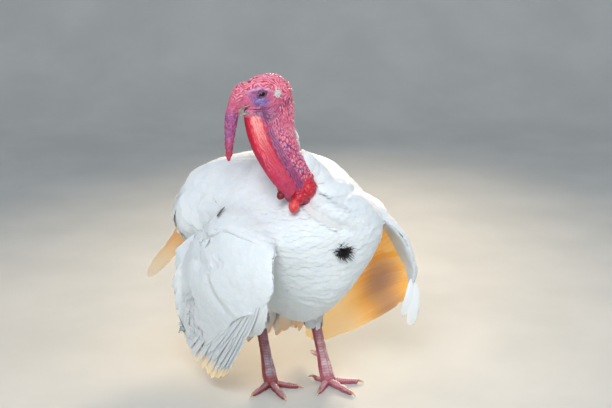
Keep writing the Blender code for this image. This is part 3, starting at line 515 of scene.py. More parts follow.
def bead_dome(points, allowed, seed):
    """Height of the beads from 0 in a crease to 1 on top, their size, and a number for each."""
    flat = squeezed(points)
    shifts = (1.0, 2.0, 3.0)
    flat = flat + 0.0024 * np.column_stack([turbulence(points + k, 0.009, 2) for k in shifts])
    uneven = 1 + 0.55 * turbulence(points + 4.0, 0.012, 2)
    z = points[:, 2]
    size = mix(0.0057, 0.0044, ramp(z, 0.49, 0.58)) * mix(1.0, 0.80, ramp(z, 0.64, 0.70)) * uneven
    chosen = np.flatnonzero(allowed > 0.3)
    picked = chosen[scattered(flat[chosen], size[chosen], seed)]
    tree = tree_of(flat[picked])
    dome, owner = np.zeros(len(points)), np.zeros(len(points), int)
    for n in np.flatnonzero(allowed > 0.01).tolist():
        (_, first, near), (_, _, far) = tree.find_n(flat[n], 2)
        w = min(1.0, (far - near) / (0.80 * size[n]))
        dome[n], owner[n] = (1 - (1 - w) ** 2) ** 0.8, first
    print("caruncles:", len(picked))
    chance = np.random.default_rng(seed + 1).random(len(picked))
    return dome, size, chance[owner]


bead, bead_size, bead_chance = bead_dome(head_points, skin.beaded, 21)

# %% [markdown]
# Elsewhere the skin is drawn into fine folds. They run in arcs round the eye, so each is a wave
# of the distance from the eye that wanders and breaks off. The cheek and the upper nape have
# cords down their length, the wattle long shallow pleats, the snood rings, and the bulbs have
# creases across them. A painted bump map would be quicker, but it leaves the outline smooth.

# %% Wrinkles, lids, ear and mouth line
def wrinkle_fields(points):
    eye = np.array([on_head(0.0, side * EYE_OUT, 0.0) for side in (-1, 1)])
    rho = np.linalg.norm(points[:, None] - eye, axis=2).min(1)
    over = mix(rho, points[:, 2] - HEAD_CENTRE[2] + 0.006, ramp(skin.a, 0.006, 0.036))
    wander = turbulence(points, 0.017, 2)
    broken = 0.90 + 0.45 * turbulence(points, 0.0050, 2)
    arcs = np.clip(waves(over / 0.0050 + 1.5 * wander, 0.85) * broken, 0, 1)
    cords = waves(skin.angle * 0.040 / 0.0056 + 0.9 * wander)
    nape_cords = waves(skin.angle * 0.040 / 0.0043 + 1.2 * wander) * broken
    pleats = waves(skin.out * np.cos(skin.angle) / 0.0062
                   + turbulence(points, (0.02, 0.02, 0.06), 2))
    rings = waves(skin.snood_t * 0.19 / 0.0040 + turbulence(points, 0.010, 2))
    creases = waves(points[:, 2] / 0.0135 + 0.9 * turbulence(points, 0.013, 2))
    return arcs, cords, nape_cords, pleats, rings, creases


arcs, cords, nape_cords, pleats, rings, creases = wrinkle_fields(head_points)
lumps = turbulence(head_points, 0.007)
fine_lumps = turbulence(head_points, 0.0026, 2)
cheek_cords = ramp(skin.t, 0.58, 0.70) * ramp(-np.abs(np.abs(skin.angle) - 1.75), -1.00, -0.60)
cheek_cords *= skin.beaded * (1 - skin.head)
corded_nape = ramp(skin.t, 0.46, 0.66) * ramp(np.abs(skin.angle), 1.35, 1.8) * skin.beaded
ear_gap = np.hypot((skin.a + 0.0315) / 0.0062, (skin.u + 0.0100) / 0.0072)
mouth_u = -0.0284 + 0.317 * (skin.a - 0.0138)
mouth = (ramp(-np.abs(skin.u - mouth_u), -0.0017, -0.0005) * ramp(skin.a, 0.011, 0.015)
         * skin.side * skin.head)


def hump(x, middle, reach):
    """A rounded ridge of height 1 at the middle."""
    return np.exp(-((x - middle) / reach) ** 2)


lips = hump(np.abs(skin.u - mouth_u), 0.0032, 0.0014) * ramp(skin.a, 0.008, 0.016) * skin.head
bag = hump(skin.eye_gap, 2.5, 0.45) * ramp(-skin.u, -0.004, 0.004)


def carve_head():
    """How far each point moves out of or into the skin."""
    near_eye = skin.side * skin.head
    beads = skin.beaded * (1 - 0.7 * cheek_cords) * (1 - 0.75 * corded_nape)
    move = (0.00350 * skin.crown + 0.00150 * skin.face) * (arcs - 0.6)
    move += beads * bead_size * 0.72 * (bead - 0.60) * (0.55 + 0.80 * bead_chance)
    move += cheek_cords * 0.0024 * (cords - 0.6) + corded_nape * 0.0030 * (nape_cords - 0.6)
    move += skin.wattle * (0.00100 * (pleats - 0.6) + 0.00045 * lumps)
    move += skin.strip * (0.00150 * (cords - 0.6) + 0.00080 * lumps)
    move += skin.snood * (0.00160 * (rings - 0.6) + 0.00130 * lumps + 0.00110 * fine_lumps)
    hanging = skin.bulbs[1]
    move += (skin.bulb - 0.75 * hanging) * (0.00190 * (creases - 0.8) + 0.00050 * lumps)
    move += 0.0016 * lips + 0.00022 * fine_lumps
    # the eye's opening, the lids, the fold round them, the bag below, and the ear's rim and cup
    move -= near_eye * 0.0045 * (1 - ramp(skin.eye_gap, 0.78, 1.02))
    move += near_eye * 0.0013 * hump(skin.eye_gap, 1.32, 0.26)
    move -= near_eye * 0.0006 * hump(skin.eye_gap, 1.85, 0.22)
    move += near_eye * (0.0008 * bag + 0.0010 * hump(ear_gap, 1.15, 0.25))
    move -= near_eye * 0.0022 * (1 - ramp(ear_gap, 0.4, 0.95))
    return move - 0.0016 * mouth


head_points = head_points + point_normals(head_points, head_quads) * carve_head()[:, None]
head_points = relax(head_points, head_quads, 1, 0.8)

# %% [markdown]
# The colours of a roused tom are blood and thin skin: crimson beads and wattle, periwinkle
# round the eye, purple in the hollows, pink on the crown. The dark colours of creases and
# hollows are partly the skin's own and partly painted shade, and the pale colours of ridges
# and bead tops are partly a painted highlight. They could be typed in where they are used, but
# named for the skin that they belong to they are easier to compare and to mend.

# %% Colours of the bare skin
# crease and valley colours below are partly painted shade; pink ridge and bead colours are partly a
# painted highlight
CROWN_PINK = srgb(248, 144, 160)
CROWN_CREASE = srgb(158, 38, 84)
BROW_LAVENDER = srgb(216, 160, 196)
EYE_BLUE = srgb(132, 138, 208)
CHEEK_PURPLE = srgb(158, 88, 134)
CHEEK_DARK = srgb(84, 38, 78)
LORE_PINK = srgb(218, 108, 142)
LIP_PINK = srgb(210, 130, 164)
# the lids' dark edge, partly the skin's own and partly painted shadow of the lids; also painted
# shade in the mouth's slit and the ear's opening
DARK_LID_AND_SHADE = srgb(30, 12, 26)
WATTLE_RED = srgb(210, 26, 58)
WATTLE_CORAL = srgb(248, 156, 150)
WATTLE_LOW = srgb(188, 50, 92)
STRIP_PURPLE = srgb(156, 70, 116)
STRIP_DARK = srgb(108, 44, 88)
NECK_VALLEY = srgb(124, 54, 112)
NECK_BEAD = srgb(238, 108, 124)
NAPE_VALLEY = srgb(196, 100, 148)
NAPE_BEAD = srgb(250, 156, 166)
FOOT_VALLEY = srgb(132, 22, 52)
FOOT_BEAD = srgb(232, 98, 104)
BULB_RED = srgb(206, 34, 56)
BULB_CORAL = srgb(228, 74, 76)
BULB_DARK = srgb(132, 14, 34)
BULB_COLOURS = (BULB_RED, BULB_CORAL, BULB_DARK, BULB_RED, BULB_RED, BULB_RED)
SNOOD_ROOT = srgb(220, 108, 138)
SNOOD_PURPLE = srgb(158, 86, 140)
SNOOD_CRIMSON = srgb(196, 60, 88)

# %% [markdown]
# The colours follow the forms, so they are worked out point by point from the same masks and
# heights, and stored on the mesh as a colour attribute that the shader reads. An image would
# need a map laid over every fold.

# %% Paint the bare skin
def blend(base, colour, amount):
    return base + (colour - base) * np.clip(amount, 0, 1)[:, None]


def paint_neck(patch):
    """Beads: purple hollows at the sides, crimson ones at the foot, pink ones up the nape.

    Darker hollows and paler tops are partly painted shade and a painted highlight.
    """
    height = np.clip(bead * (0.75 + 0.5 * bead_chance), 0, 1)
    back = ramp(np.abs(skin.angle), 1.75, 2.5)
    foot = 1 - ramp(head_points[:, 2], 0.510, 0.565)
    valley = blend(NECK_VALLEY, NAPE_VALLEY, back * (1 - foot))
    valley = blend(valley, FOOT_VALLEY, foot)
    top = blend(NECK_BEAD, NAPE_BEAD, 0.7 * back + 0.55 * bead_chance)
    top = blend(top, FOOT_BEAD, foot)
    top = blend(top, BROW_LAVENDER * 0.8, ramp(patch, 0.0, 0.40) * 0.75 * (1 - foot) * (1 - back))
    # paler on the bead tops: partly the beads' own colour and partly a painted highlight
    colour = valley + (top - valley) * ramp(height, 0.30, 0.95)[:, None]
    # painted shade: darker at the bottom of the creases between the beads
    colour = blend(colour, colour * 0.66, 1 - ramp(height, 0.05, 0.35))
    # the cheek's and nape's cords are darker in their creases, partly painted shade
    corded = blend(CHEEK_DARK, LORE_PINK, ramp(cords, 0.35, 0.95))
    nape = blend(CROWN_CREASE, CROWN_PINK, ramp(nape_cords + 0.2 * patch, 0.15, 0.90))
    colour = blend(colour, nape, 0.85 * corded_nape)
    return blend(colour, blend(corded, NECK_BEAD, ramp(patch, -0.1, 0.4) * 0.6), cheek_cords)


def paint_throat(colour, patch):
    """The wattle is crimson along its edge and coral along its side; a purple strip borders it.

    The coral is partly a painted highlight; creases in the wattle and strip carry painted shade.
    """
    band = skin.forward + 0.03 * patch
    high, low = ramp(skin.t, 0.40, 0.75), 1 - ramp(skin.t, 0.16, 0.62)
    # the pale coral band: partly the wattle's own colour and partly a painted highlight
    coral = ramp(band, 0.50, 0.62) * (1 - ramp(band, 0.80, 0.94)) * mix(0.15, 1.0, high)
    # painted shade in the creases of the wattle's pleats
    pleat_shade = (1 - ramp(pleats, 0.15, 0.5)) * 0.5
    wattle = blend(WATTLE_RED, WATTLE_CORAL, coral)
    # darker along the very front edge, and painted shade in the pleats
    wattle = blend(wattle, WATTLE_RED * 0.60, ramp(band, 0.94, 1.0) * 0.60 + pleat_shade)
    foot = blend(STRIP_PURPLE, WATTLE_LOW, ramp(pleats, 0.3, 0.8))
    wattle = blend(wattle, foot, low * (0.80 + 0.5 * patch))
    colour = blend(colour, wattle, skin.wattle)
    # the strip is darker between its cords: partly painted shade
    strip = blend(STRIP_DARK, STRIP_PURPLE, ramp(cords + 0.4 * patch, 0.30, 0.85))
    strip = blend(strip, WATTLE_RED, ramp(patch, 0.25, 0.5) * 0.35)
    return blend(colour, strip, skin.strip)


def paint_face(colour, patch):
    """Pink crown, lavender brow, periwinkle before and below the eye, purple cheek, dark lids.

    Crown ridges and creases, the folds of the face and the dark at the eye, mouth and ear are
    partly painted highlight and shade.
    """
    # the crown's creases dark and ridges pink: partly its own colours, partly painted shade and
    # highlight
    crown = blend(CROWN_CREASE, CROWN_PINK, ramp(arcs + 0.20 * patch, 0.15, 0.92))
    crown = blend(crown, BROW_LAVENDER, ramp(patch, 0.15, 0.45) * 0.35)
    colour = blend(colour, crown, skin.crown * (1 - 0.5 * skin.beaded))
    cheek = ramp(-skin.a - 0.25 * skin.u, 0.004, 0.020)
    face = blend(CHEEK_PURPLE, LORE_PINK, np.maximum(ramp(skin.a, 0.016, 0.030), 0.85 * cheek))
    face = blend(face, CHEEK_DARK, ramp(-skin.u, 0.028, 0.042) * 0.5)
    along_it = ((skin.a - 0.0090) * 0.85 + (skin.u + 0.0105) * 0.52) / 0.0190
    across_it = ((skin.u + 0.0105) * 0.85 - (skin.a - 0.0090) * 0.52) / 0.0075
    blue = np.exp(-along_it ** 4 - across_it ** 2) * (0.70 + 0.9 * patch)
    face = blend(face, EYE_BLUE, np.clip(blue, 0, 0.9))
    # a dark ring round the eye: partly the skin's own and partly painted shadow of the lids
    face = blend(face, CHEEK_DARK, hump(skin.eye_gap, 1.6, 0.4) * 0.75)
    # painted shade in the folds of the face
    face = blend(face, face * 0.42, (1 - ramp(arcs, 0.10, 0.5)) * 0.75)
    face = blend(face, LIP_PINK, 0.8 * lips)
    colour = blend(colour, face, skin.face)
    rise = skin.u - np.interp(skin.a, *BROW_LINE.T)
    brow = hump(rise, 0.0005, 0.0026) * ramp(0.034 - np.abs(skin.a - 0.004), 0, 0.01)
    colour = blend(colour, BROW_LAVENDER, 0.8 * brow * skin.head * skin.side)
    # dark at the eye's opening: the lids' own dark edge and painted shadow of the lids
    colour = blend(colour, DARK_LID_AND_SHADE, skin.head * skin.side * ramp(-skin.eye_gap, -1.34, -1.08))
    # painted shade in the slit of the mouth
    colour = blend(colour, DARK_LID_AND_SHADE, 0.9 * mouth)
    # painted shade in the ear's opening
    return blend(colour, DARK_LID_AND_SHADE, 0.6 * skin.side * skin.head * ramp(-ear_gap, -0.95, -0.6))


def paint_snood(patch):
    """Pink at its root, purple down its length, crimson at the tip, and painted shade between the
    rings.
    """
    along_it = skin.snood_t
    snood = blend(SNOOD_ROOT, SNOOD_PURPLE, ramp(along_it, 0.30, 0.46) * 0.9 + 0.3 * patch)
    snood = blend(snood, SNOOD_CRIMSON, ramp(along_it + 0.1 * patch, 0.66, 0.92))
    # painted shade: darker in the creases between the rings
    snood = blend(snood, snood * 0.50, (1 - ramp(rings, 0.15, 0.60)) * 0.8)
    return blend(snood, LORE_PINK, ramp(lumps, 0.10, 0.40) * 0.5 * (1 - ramp(along_it, 0.8, 0.95)))


def paint_head(points):
    patch = turbulence(points, 0.011)
    fine = turbulence(points, 0.0030, 2)
    colour = paint_throat(paint_neck(patch), patch)
    for mask, red in zip(skin.bulbs, BULB_COLOURS):
        # each bulb is darker in its creases: painted shade
        colour = blend(colour, red * (0.62 + 0.42 * creases[:, None]), mask)
    colour = blend(paint_face(colour, patch), paint_snood(patch), skin.snood)
    return np.clip(colour * (1 + 0.14 * fine * (1 - 0.7 * skin.bulb))[:, None], 0.001, 1)


head_paint = paint_head(head_points)

# %% [markdown]
# A material in Blender is a small machine of nodes. It can be wired by hand in the shader editor,
# or in Python with several lines for each node. A small class that places a node and feeds its
# inputs in one line keeps the materials below short enough to read.

# %% A short way to place nodes
class Nodes:
    """A short way to place nodes in a tree and wire them."""

    def __init__(self, tree):
        self.tree = tree

    def feed(self, socket, value):
        """Links a socket to another one, or gives it a value of its own."""
        if isinstance(value, bpy.types.NodeSocket):
            self.tree.links.new(value, socket)
        else:
            socket.default_value = value

    def add(self, kind, settings=None, **inputs):
        """A node; an input is given by its name, or as i0, i1 and so on by its number."""
        node = self.tree.nodes.new(kind)
        for name, value in (settings or {}).items():
            setattr(node, name, value)
        for key, value in inputs.items():
            socket = int(key[1:]) if key[1:].isdigit() else key.replace("_", " ")
            self.feed(node.inputs[socket], value)
        return node

    def math(self, operation, a, b=0.0):
        return self.add("ShaderNodeMath", {"operation": operation}, i0=a, i1=b).outputs[0]

    def colours(self, factor, a, b, how="MIX"):
        a, b = (c if isinstance(c, bpy.types.NodeSocket) else (*c, 1) for c in (a, b))
        settings = {"data_type": "RGBA", "blend_type": how}
        return self.add("ShaderNodeMix", settings, i0=factor, i6=a, i7=b).outputs[2]

    def span(self, value, low, high, out_low=0.0, out_high=1.0):
        node = self.add("ShaderNodeMapRange", {"interpolation_type": "SMOOTHSTEP"}, i0=value,
                        i1=low, i2=high, i3=out_low, i4=out_high)
        return node.outputs[0]


# %% [markdown]
# Several finishes on this bird share the same effects: fine mottling of flesh and horn, and the
# barbs of a feather. Copying the nodes into each material would work, but then a change has to be
# made many times. Each effect is built once as a node group with named sockets, and placed in
# every material that needs it with its own values.

# %% Shared effects as node groups
def new_group(name, sockets_in, sockets_out):
    group = bpy.data.node_groups.new(name, "ShaderNodeTree")
    for socket, value in sockets_in.items():
        made = group.interface.new_socket(socket, in_out="INPUT", socket_type="NodeSocketFloat")
        made.default_value = value
    for socket in sockets_out:
        group.interface.new_socket(socket, in_out="OUTPUT", socket_type="NodeSocketFloat")
    nodes = Nodes(group)
    given, out = group.nodes.new("NodeGroupInput"), group.nodes.new("NodeGroupOutput")
    return group, nodes, given.outputs, out.inputs


def mottle_group():
    """Patches and pores of living tissue, as two values round the middle."""
    group, n, given, out = new_group("tissue_mottle", {"Patch Size": 0.02, "Pore Size": 0.002},
                                     ("Patches", "Pores"))
    place = n.add("ShaderNodeTexCoord").outputs["Object"]
    for size, output, detail in (("Patch Size", "Patches", 3.0), ("Pore Size", "Pores", 2.0)):
        scale = n.math("DIVIDE", 1.0, given[size])
        made = n.add("ShaderNodeTexNoise", Vector=place, Scale=scale, Detail=detail, Roughness=0.6)
        group.links.new(made.outputs["Fac"], out[output])
    return group


def barb_group():
    """The barbs of a vane, from its own map: metres along the shaft and across it."""
    group, n, given, out = new_group(
        "feather_barbs", {"Barb Spacing": 0.0007, "Barb Slant": 1.1, "Shaft Width": 0.0006},
        ("Height", "Barbs", "Shaft"))
    where = n.add("ShaderNodeUVMap", {"uv_map": "vane"}).outputs[0]
    split = n.add("ShaderNodeSeparateXYZ", Vector=where)
    across = n.math("ABSOLUTE", split.outputs["Y"])
    slant = n.math("MULTIPLY", across, given["Barb Slant"])
    slanted = n.math("SUBTRACT", split.outputs["X"], slant)
    wander = n.add("ShaderNodeTexNoise", Vector=where, Scale=90.0, Detail=2.0).outputs["Fac"]
    slanted = n.math("ADD", slanted, n.math("MULTIPLY", wander, 0.004))
    phase = n.math("MULTIPLY", n.math("DIVIDE", slanted, given["Barb Spacing"]), 2 * pi)
    wave = n.math("ADD", n.math("MULTIPLY", n.math("SINE", phase), 0.5), 0.5)
    shaft = n.span(n.math("DIVIDE", across, given["Shaft Width"]), 0.6, 1.6, 1.0, 0.0)
    height = n.math("ADD", n.math("MULTIPLY", wave, 0.35), n.math("MULTIPLY", shaft, 1.4))
    for name, value in (("Height", height), ("Barbs", wave), ("Shaft", shaft)):
        group.links.new(value, out[name])
    return group


TISSUE = mottle_group()
BARBS = barb_group()
print("node groups:", [g.name for g in bpy.data.node_groups])

# %% [markdown]
# A group puts out colours and heights. The Principled shader, which turns them into a surface,
# stays in the material itself. These helpers start a material, place a group in it, and wire
# what comes out of it to the shader.

# %% Start a material and wire it
def new_material(name, roughness, **constants):
    """A material with its Principled shader, whose constants sit on the shader's own sockets."""
    made = bpy.data.materials.new(name)
    made.use_nodes = True
    nodes = Nodes(made.node_tree)
    shader = made.node_tree.nodes["Principled BSDF"]
    shader.inputs["Roughness"].default_value = roughness
    for socket, value in constants.items():
        shader.inputs[socket.replace("_", " ")].default_value = value
    return made, nodes, shader


def place_group(nodes, group, **values):
    node = nodes.add("ShaderNodeGroup")
    node.node_tree = group
    for socket, value in values.items():
        node.inputs[socket.replace("_", " ")].default_value = value
    return node.outputs


def wire(nodes, shader, **links):
    for socket, value in links.items():
        nodes.tree.links.new(value, shader.inputs[socket.replace("_", " ")])


def bump(nodes, height, strength, distance):
    made = nodes.add("ShaderNodeBump", Height=height, Strength=strength, Distance=distance)
    return made.outputs[0]


def stored(nodes, name, output="Fac"):
    """The value of an attribute of the mesh."""
    return nodes.add("ShaderNodeAttribute", {"attribute_name": name}).outputs[output]


# %% [markdown]
# Bare skin is soft, a little moist and thin enough for light to enter it. Its colour is the
# painted attribute, broken up by the mottle. A little subsurface light softens the folds, and
# pores give the gloss a grain.

# %% The bare skin's material
def flesh_material(name, roughness, patch=0.010, pore=0.0011, subsurface=0.07):
    made, n, shader = new_material(name, roughness, Subsurface_Weight=subsurface,
                                   Subsurface_Scale=0.003, Specular_IOR_Level=0.5, Coat_Weight=0.06,
                                   Coat_Roughness=0.30)
    shader.inputs["Subsurface Radius"].default_value = (1.0, 0.35, 0.25)
    paint = stored(n, "paint", "Color")
    tissue = place_group(n, TISSUE, Patch_Size=patch, Pore_Size=pore)
    shade = n.span(tissue["Patches"], 0.3, 0.7, 0.86, 1.10)
    grey = n.add("ShaderNodeCombineColor", i0=shade, i1=shade, i2=shade).outputs[0]
    toned = n.colours(1.0, paint, grey, "MULTIPLY")
    dull = n.span(tissue["Pores"], 0.3, 0.7, roughness - 0.08, roughness + 0.12)
    wire(n, shader, Base_Color=toned, Roughness=dull, Normal=bump(n, tissue["Pores"], 0.35, 0.0004))
    return made


def add_flesh(name, points, quads, paint, look, slot):
    obj = add_piece(name, points, [quads], look, slot)
    set_paint(obj, paint)
    return obj


bare_skin = flesh_material("bare_skin", 0.42)
head_skin = add_flesh("head_and_neck_skin", head_points, head_quads, head_paint, bare_skin,
                      "bare_skin")
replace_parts(head_skin, "head", "neck", "snood")

# %% [markdown]
# A turkey's eye is small, round and dark, with a brown iris that only shows close by. The skin
# leaves an almond opening, and the lids' bare rims lie on the ball. Each eye is a ball with a
# finer net than the solid's, coloured by rings round its own axis.

# %% Eyes and lid rims
def polar_ball(centre, radius, axis, up, rings=30, sides=40):
    side = unit(np.cross(up, axis))
    lat = np.linspace(0.02, pi - 0.02, rings)[:, None, None]
    lon = np.linspace(0, 2 * pi, sides, endpoint=False)[None, :, None]
    bulge = 1 + 0.05 * np.exp(-(lat / 0.5) ** 2)
    return loft(centre + radius * bulge * (axis * np.cos(lat) + side * np.sin(lat) * np.cos(lon)
                                           + up * np.sin(lat) * np.sin(lon)))


# colour out to each angle, in degrees, from the middle of the eye: white, rim, iris and pupil
EYE_RINGS = ((180, srgb(120, 96, 96)), (62, srgb(14, 8, 8)), (46, srgb(34, 16, 10)),
             (17, srgb(4, 3, 4)))
LID_WIDE, LID_HIGH, LID_RIM = 0.00585, 0.00400, 0.00075

eye_look, n, shader = new_material("eye", 0.06, Coat_Weight=0.2, Coat_Roughness=0.03, IOR=1.36)
wire(n, shader, Base_Color=stored(n, "paint", "Color"))
lid_look, _, shader = new_material("lid_rim", 0.35, Base_Color=(*srgb(92, 52, 78), 1))
for word, side in (("right", -1), ("left", 1)):
    axis = unit(HEAD_LEFT * side + 0.10 * HEAD_AHEAD)
    centre = on_head(0.0, side * EYE_OUT, 0.0)
    points, faces = polar_ball(centre, EYE_RADIUS, axis, HEAD_UP)
    eye = add_piece("eyeball_" + word, points, faces, eye_look, "eye")
    turn = np.degrees(np.arccos(np.clip(unit(points - centre) @ axis, -1, 1)))[:, None]
    colours = np.zeros((len(points), 3))
    for limit, ring_colour in EYE_RINGS:
        colours = np.where(turn < limit, ring_colour, colours)
    set_paint(eye, colours)
    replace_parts(eye, "eye_" + word)
    a = np.linspace(0, 2 * pi, 60, endpoint=False)
    rim = np.column_stack([LID_WIDE * np.cos(a), LID_HIGH * np.sin(a) * (1 - 0.12 * np.cos(a))])
    ball = EYE_RADIUS * 1.03
    depth = np.sqrt(np.maximum(0.0, 1 - (rim ** 2).sum(1) / ball ** 2)) * ball
    ring = on_head(rim[:, 0], side * (EYE_OUT + depth), rim[:, 1] - 0.0002)
    ring = tube(np.vstack([ring, ring[:1]]), lambda t: (LID_RIM, LID_RIM), HEAD_LEFT * side, 10)
    add_piece("lid_rim_" + word, *ring, lid_look, "bare_skin")

# %% [markdown]
# The bill is horn: short, curved down at the tip, cream grey with a darker base. It is lofted
# from a few stations with a sharp cutting edge low on each side, which a plain tube lacks.

# %% Bill
def bill_half(path, half_widths, heights, droop, sides=28, stations=26):
    """A horn sheath: round above (or below, with droop -1) and flat towards the other half."""
    t = np.linspace(0, 1, stations)
    centre = along(path, t)
    ahead, forth, side = frames(centre, HEAD_UP)
    a = np.linspace(0, 2 * pi, sides, endpoint=False)
    wide = np.interp(t, np.linspace(0, 1, len(half_widths)), half_widths)[:, None, None]
    tall = np.interp(t, np.linspace(0, 1, len(heights)), heights)[:, None, None]
    rise = np.sin(a) * droop
    flat = np.where(rise < 0, 0.35 * rise, rise) * droop
    return loft(centre[:, None] + side[:, None] * wide * np.cos(a)[None, :, None]
                + forth[:, None] * tall * flat[None, :, None])


def horn_material(name, base, tip, streak, roughness=0.32):
    """Horn: long growth streaks, darker at the root, a low gloss."""
    made, n, shader = new_material(name, roughness, Coat_Weight=0.15, Coat_Roughness=0.25)
    tissue = place_group(n, TISSUE, Patch_Size=0.006, Pore_Size=0.0009)
    colour = n.colours(n.span(stored(n, "grown"), 0.1, 0.9), tuple(base), tuple(tip))
    colour = n.colours(n.span(tissue["Patches"], 0.45, 0.70, 0.0, 0.6), colour, tuple(streak))
    wire(n, shader, Base_Color=colour, Normal=bump(n, tissue["Pores"], 0.25, 0.0003))
    return made


def add_horn(name, shape, along_it, look, node):
    """A horn piece; along_it says how far towards the tip each point lies."""
    obj = add_piece(name, *shape, look, "horn")
    set_attribute(obj.data, "grown", "FLOAT", "POINT", along_it)
    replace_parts(obj, node)
    return obj


def ring_share(shape, stations):
    return np.repeat(np.linspace(0, 1, stations), len(shape[0]) // stations)


bill_look = horn_material("bill_horn", srgb(104, 86, 90), srgb(186, 178, 158), srgb(86, 78, 78))
upper = bill_half(on_head([0.026, 0.040, 0.0485, 0.0545, 0.0588], [0] * 5,
                          [-0.0165, -0.0140, -0.0150, -0.0195, -0.0268]),
                  (0.0125, 0.0105, 0.0082, 0.0052, 0.0018),
                  (0.0075, 0.0064, 0.0054, 0.0044, 0.0018), 1)
add_horn("upper_bill", upper, ring_share(upper, 26), bill_look, "bill_upper")
lower = bill_half(on_head([0.022, 0.036, 0.0460, 0.0560], [0] * 4,
                          [-0.0330, -0.0285, -0.0262, -0.0272]),
                  (0.0115, 0.0098, 0.0078, 0.0028), (0.0068, 0.0068, 0.0060, 0.0022), -1)
add_horn("lower_bill", lower, ring_share(lower, 26), bill_look, "bill_lower")

# %% [markdown]
# Both wings hang half open, the right one as a wide shield that hides the thigh, the left one
# held away from the flank. Each is given by curves for its front edge, its rear edge and the
# tips of its long feathers, from the shoulder to the hand, so that every row of feathers can be
# placed from the same few lines. Bones and joints would do more than a still model needs.

# %% How body and wings are held
BREAST_Y = -0.212
RUMP_Y = 0.325
WIDEST_Z = 0.372
TAIL_BASE = vec(0, RUMP_Y - 0.060, WIDEST_Z + 0.020)
COAT_DEPTH = 0.006
BODY_VOXEL = 0.0055
# folds in the plumage, each a path on the body, its depth and the side that bulges over it
CREASES = (([(-0.078, -0.128, 0.500), (-0.068, -0.150, 0.486), (-0.058, -0.173, 0.467),
             (-0.039, -0.190, 0.451), (-0.012, -0.201, 0.435), (0.022, -0.203, 0.420)],
            0.0150, (0.5, 0, 0.85)),
           ([(-0.060, -0.140, 0.520), (-0.036, -0.157, 0.512), (-0.006, -0.166, 0.497),
             (0.045, -0.150, 0.488), (0.085, -0.118, 0.487), (0.118, -0.090, 0.474)],
            0.0052, (0.3, 0.3, 0.9)))
# low swellings and hollows that the folds leave: place, radius and height
SWELLINGS = (((0.104, 0.010, 0.508), 0.050, 0.0085), ((0.108, -0.104, 0.480), 0.024, -0.0060),
             ((-0.136, 0.220, 0.430), 0.050, 0.0080), ((-0.020, -0.150, 0.300), 0.050, 0.0050),
             ((0.030, -0.010, 0.170), 0.065, 0.0110), ((-0.170, 0.205, 0.375), 0.070, 0.0210))


class WingPose:
    """Where one wing's front and rear edges and feather tips lie, from the shoulder down."""

    def __init__(self, side, front, rear, secondary_roots, primary_roots, tips, thumb, thumb_width):
        self.side = side
        self.front, self.rear = np.array(front), np.array(rear)
        self.roots = np.array(secondary_roots + primary_roots[1:])
        self.tips, self.thumb = np.array(tips), np.array(thumb)
        self.thumb_width = np.array(thumb_width)
        self.outward = unit(vec(side, -0.10, 0.18))


RIGHT_WING = WingPose(
    -1,
    front=[(-0.090, -0.080, 0.445), (-0.135, -0.158, 0.412), (-0.166, -0.200, 0.368),
           (-0.172, -0.206, 0.318), (-0.180, -0.172, 0.266)],
    rear=[(-0.120, 0.045, 0.430), (-0.188, 0.055, 0.396), (-0.214, 0.000, 0.350),
          (-0.212, -0.070, 0.300), (-0.192, -0.136, 0.260)],
    secondary_roots=[(-0.190, 0.040, 0.395), (-0.208, -0.012, 0.352), (-0.206, -0.076, 0.308)],
    primary_roots=[(-0.204, -0.090, 0.298), (-0.194, -0.128, 0.276), (-0.184, -0.158, 0.262)],
    tips=[(-0.230, 0.140, 0.300), (-0.232, 0.148, 0.235), (-0.212, 0.165, 0.160),
          (-0.196, 0.165, 0.095), (-0.174, 0.090, 0.040), (-0.168, 0.015, 0.062)],
    thumb=[((-0.178, -0.188, 0.290), (-0.168, -0.120, 0.200)),
           ((-0.180, -0.182, 0.284), (-0.172, -0.095, 0.190)),
           ((-0.182, -0.176, 0.278), (-0.178, -0.070, 0.196))],
    thumb_width=(0.022, 0.024, 0.024))
LEFT_WING = WingPose(
    1,
    front=[(0.084, -0.040, 0.458), (0.134, -0.095, 0.426), (0.188, -0.135, 0.374),
           (0.218, -0.152, 0.296), (0.218, -0.138, 0.240)],
    rear=[(0.112, 0.080, 0.440), (0.182, 0.080, 0.402), (0.232, 0.030, 0.350),
          (0.246, -0.036, 0.278), (0.230, -0.096, 0.228)],
    secondary_roots=[(0.184, 0.065, 0.402), (0.224, 0.018, 0.354), (0.240, -0.040, 0.294)],
    primary_roots=[(0.240, -0.050, 0.284), (0.230, -0.086, 0.254), (0.222, -0.114, 0.232)],
    tips=[(0.240, 0.195, 0.300), (0.240, 0.216, 0.235), (0.206, 0.240, 0.160),
          (0.164, 0.240, 0.088), (0.136, 0.182, 0.046), (0.144, 0.100, 0.062)],
    thumb=[((0.210, -0.148, 0.272), (0.187, -0.150, 0.189)),
           ((0.219, -0.150, 0.262), (0.203, -0.156, 0.166)),
           ((0.226, -0.146, 0.256), (0.214, -0.150, 0.176))],
    thumb_width=(0.018, 0.023, 0.020))


# %% [markdown]
# The arm of a wing is flesh and bone under skin, thick in front and bent through its rear edge
# towards the tips. It could be modelled by hand from a few subdivided faces, but the wing's own
# curves already say where it runs, so a closed sheet is lofted between them.

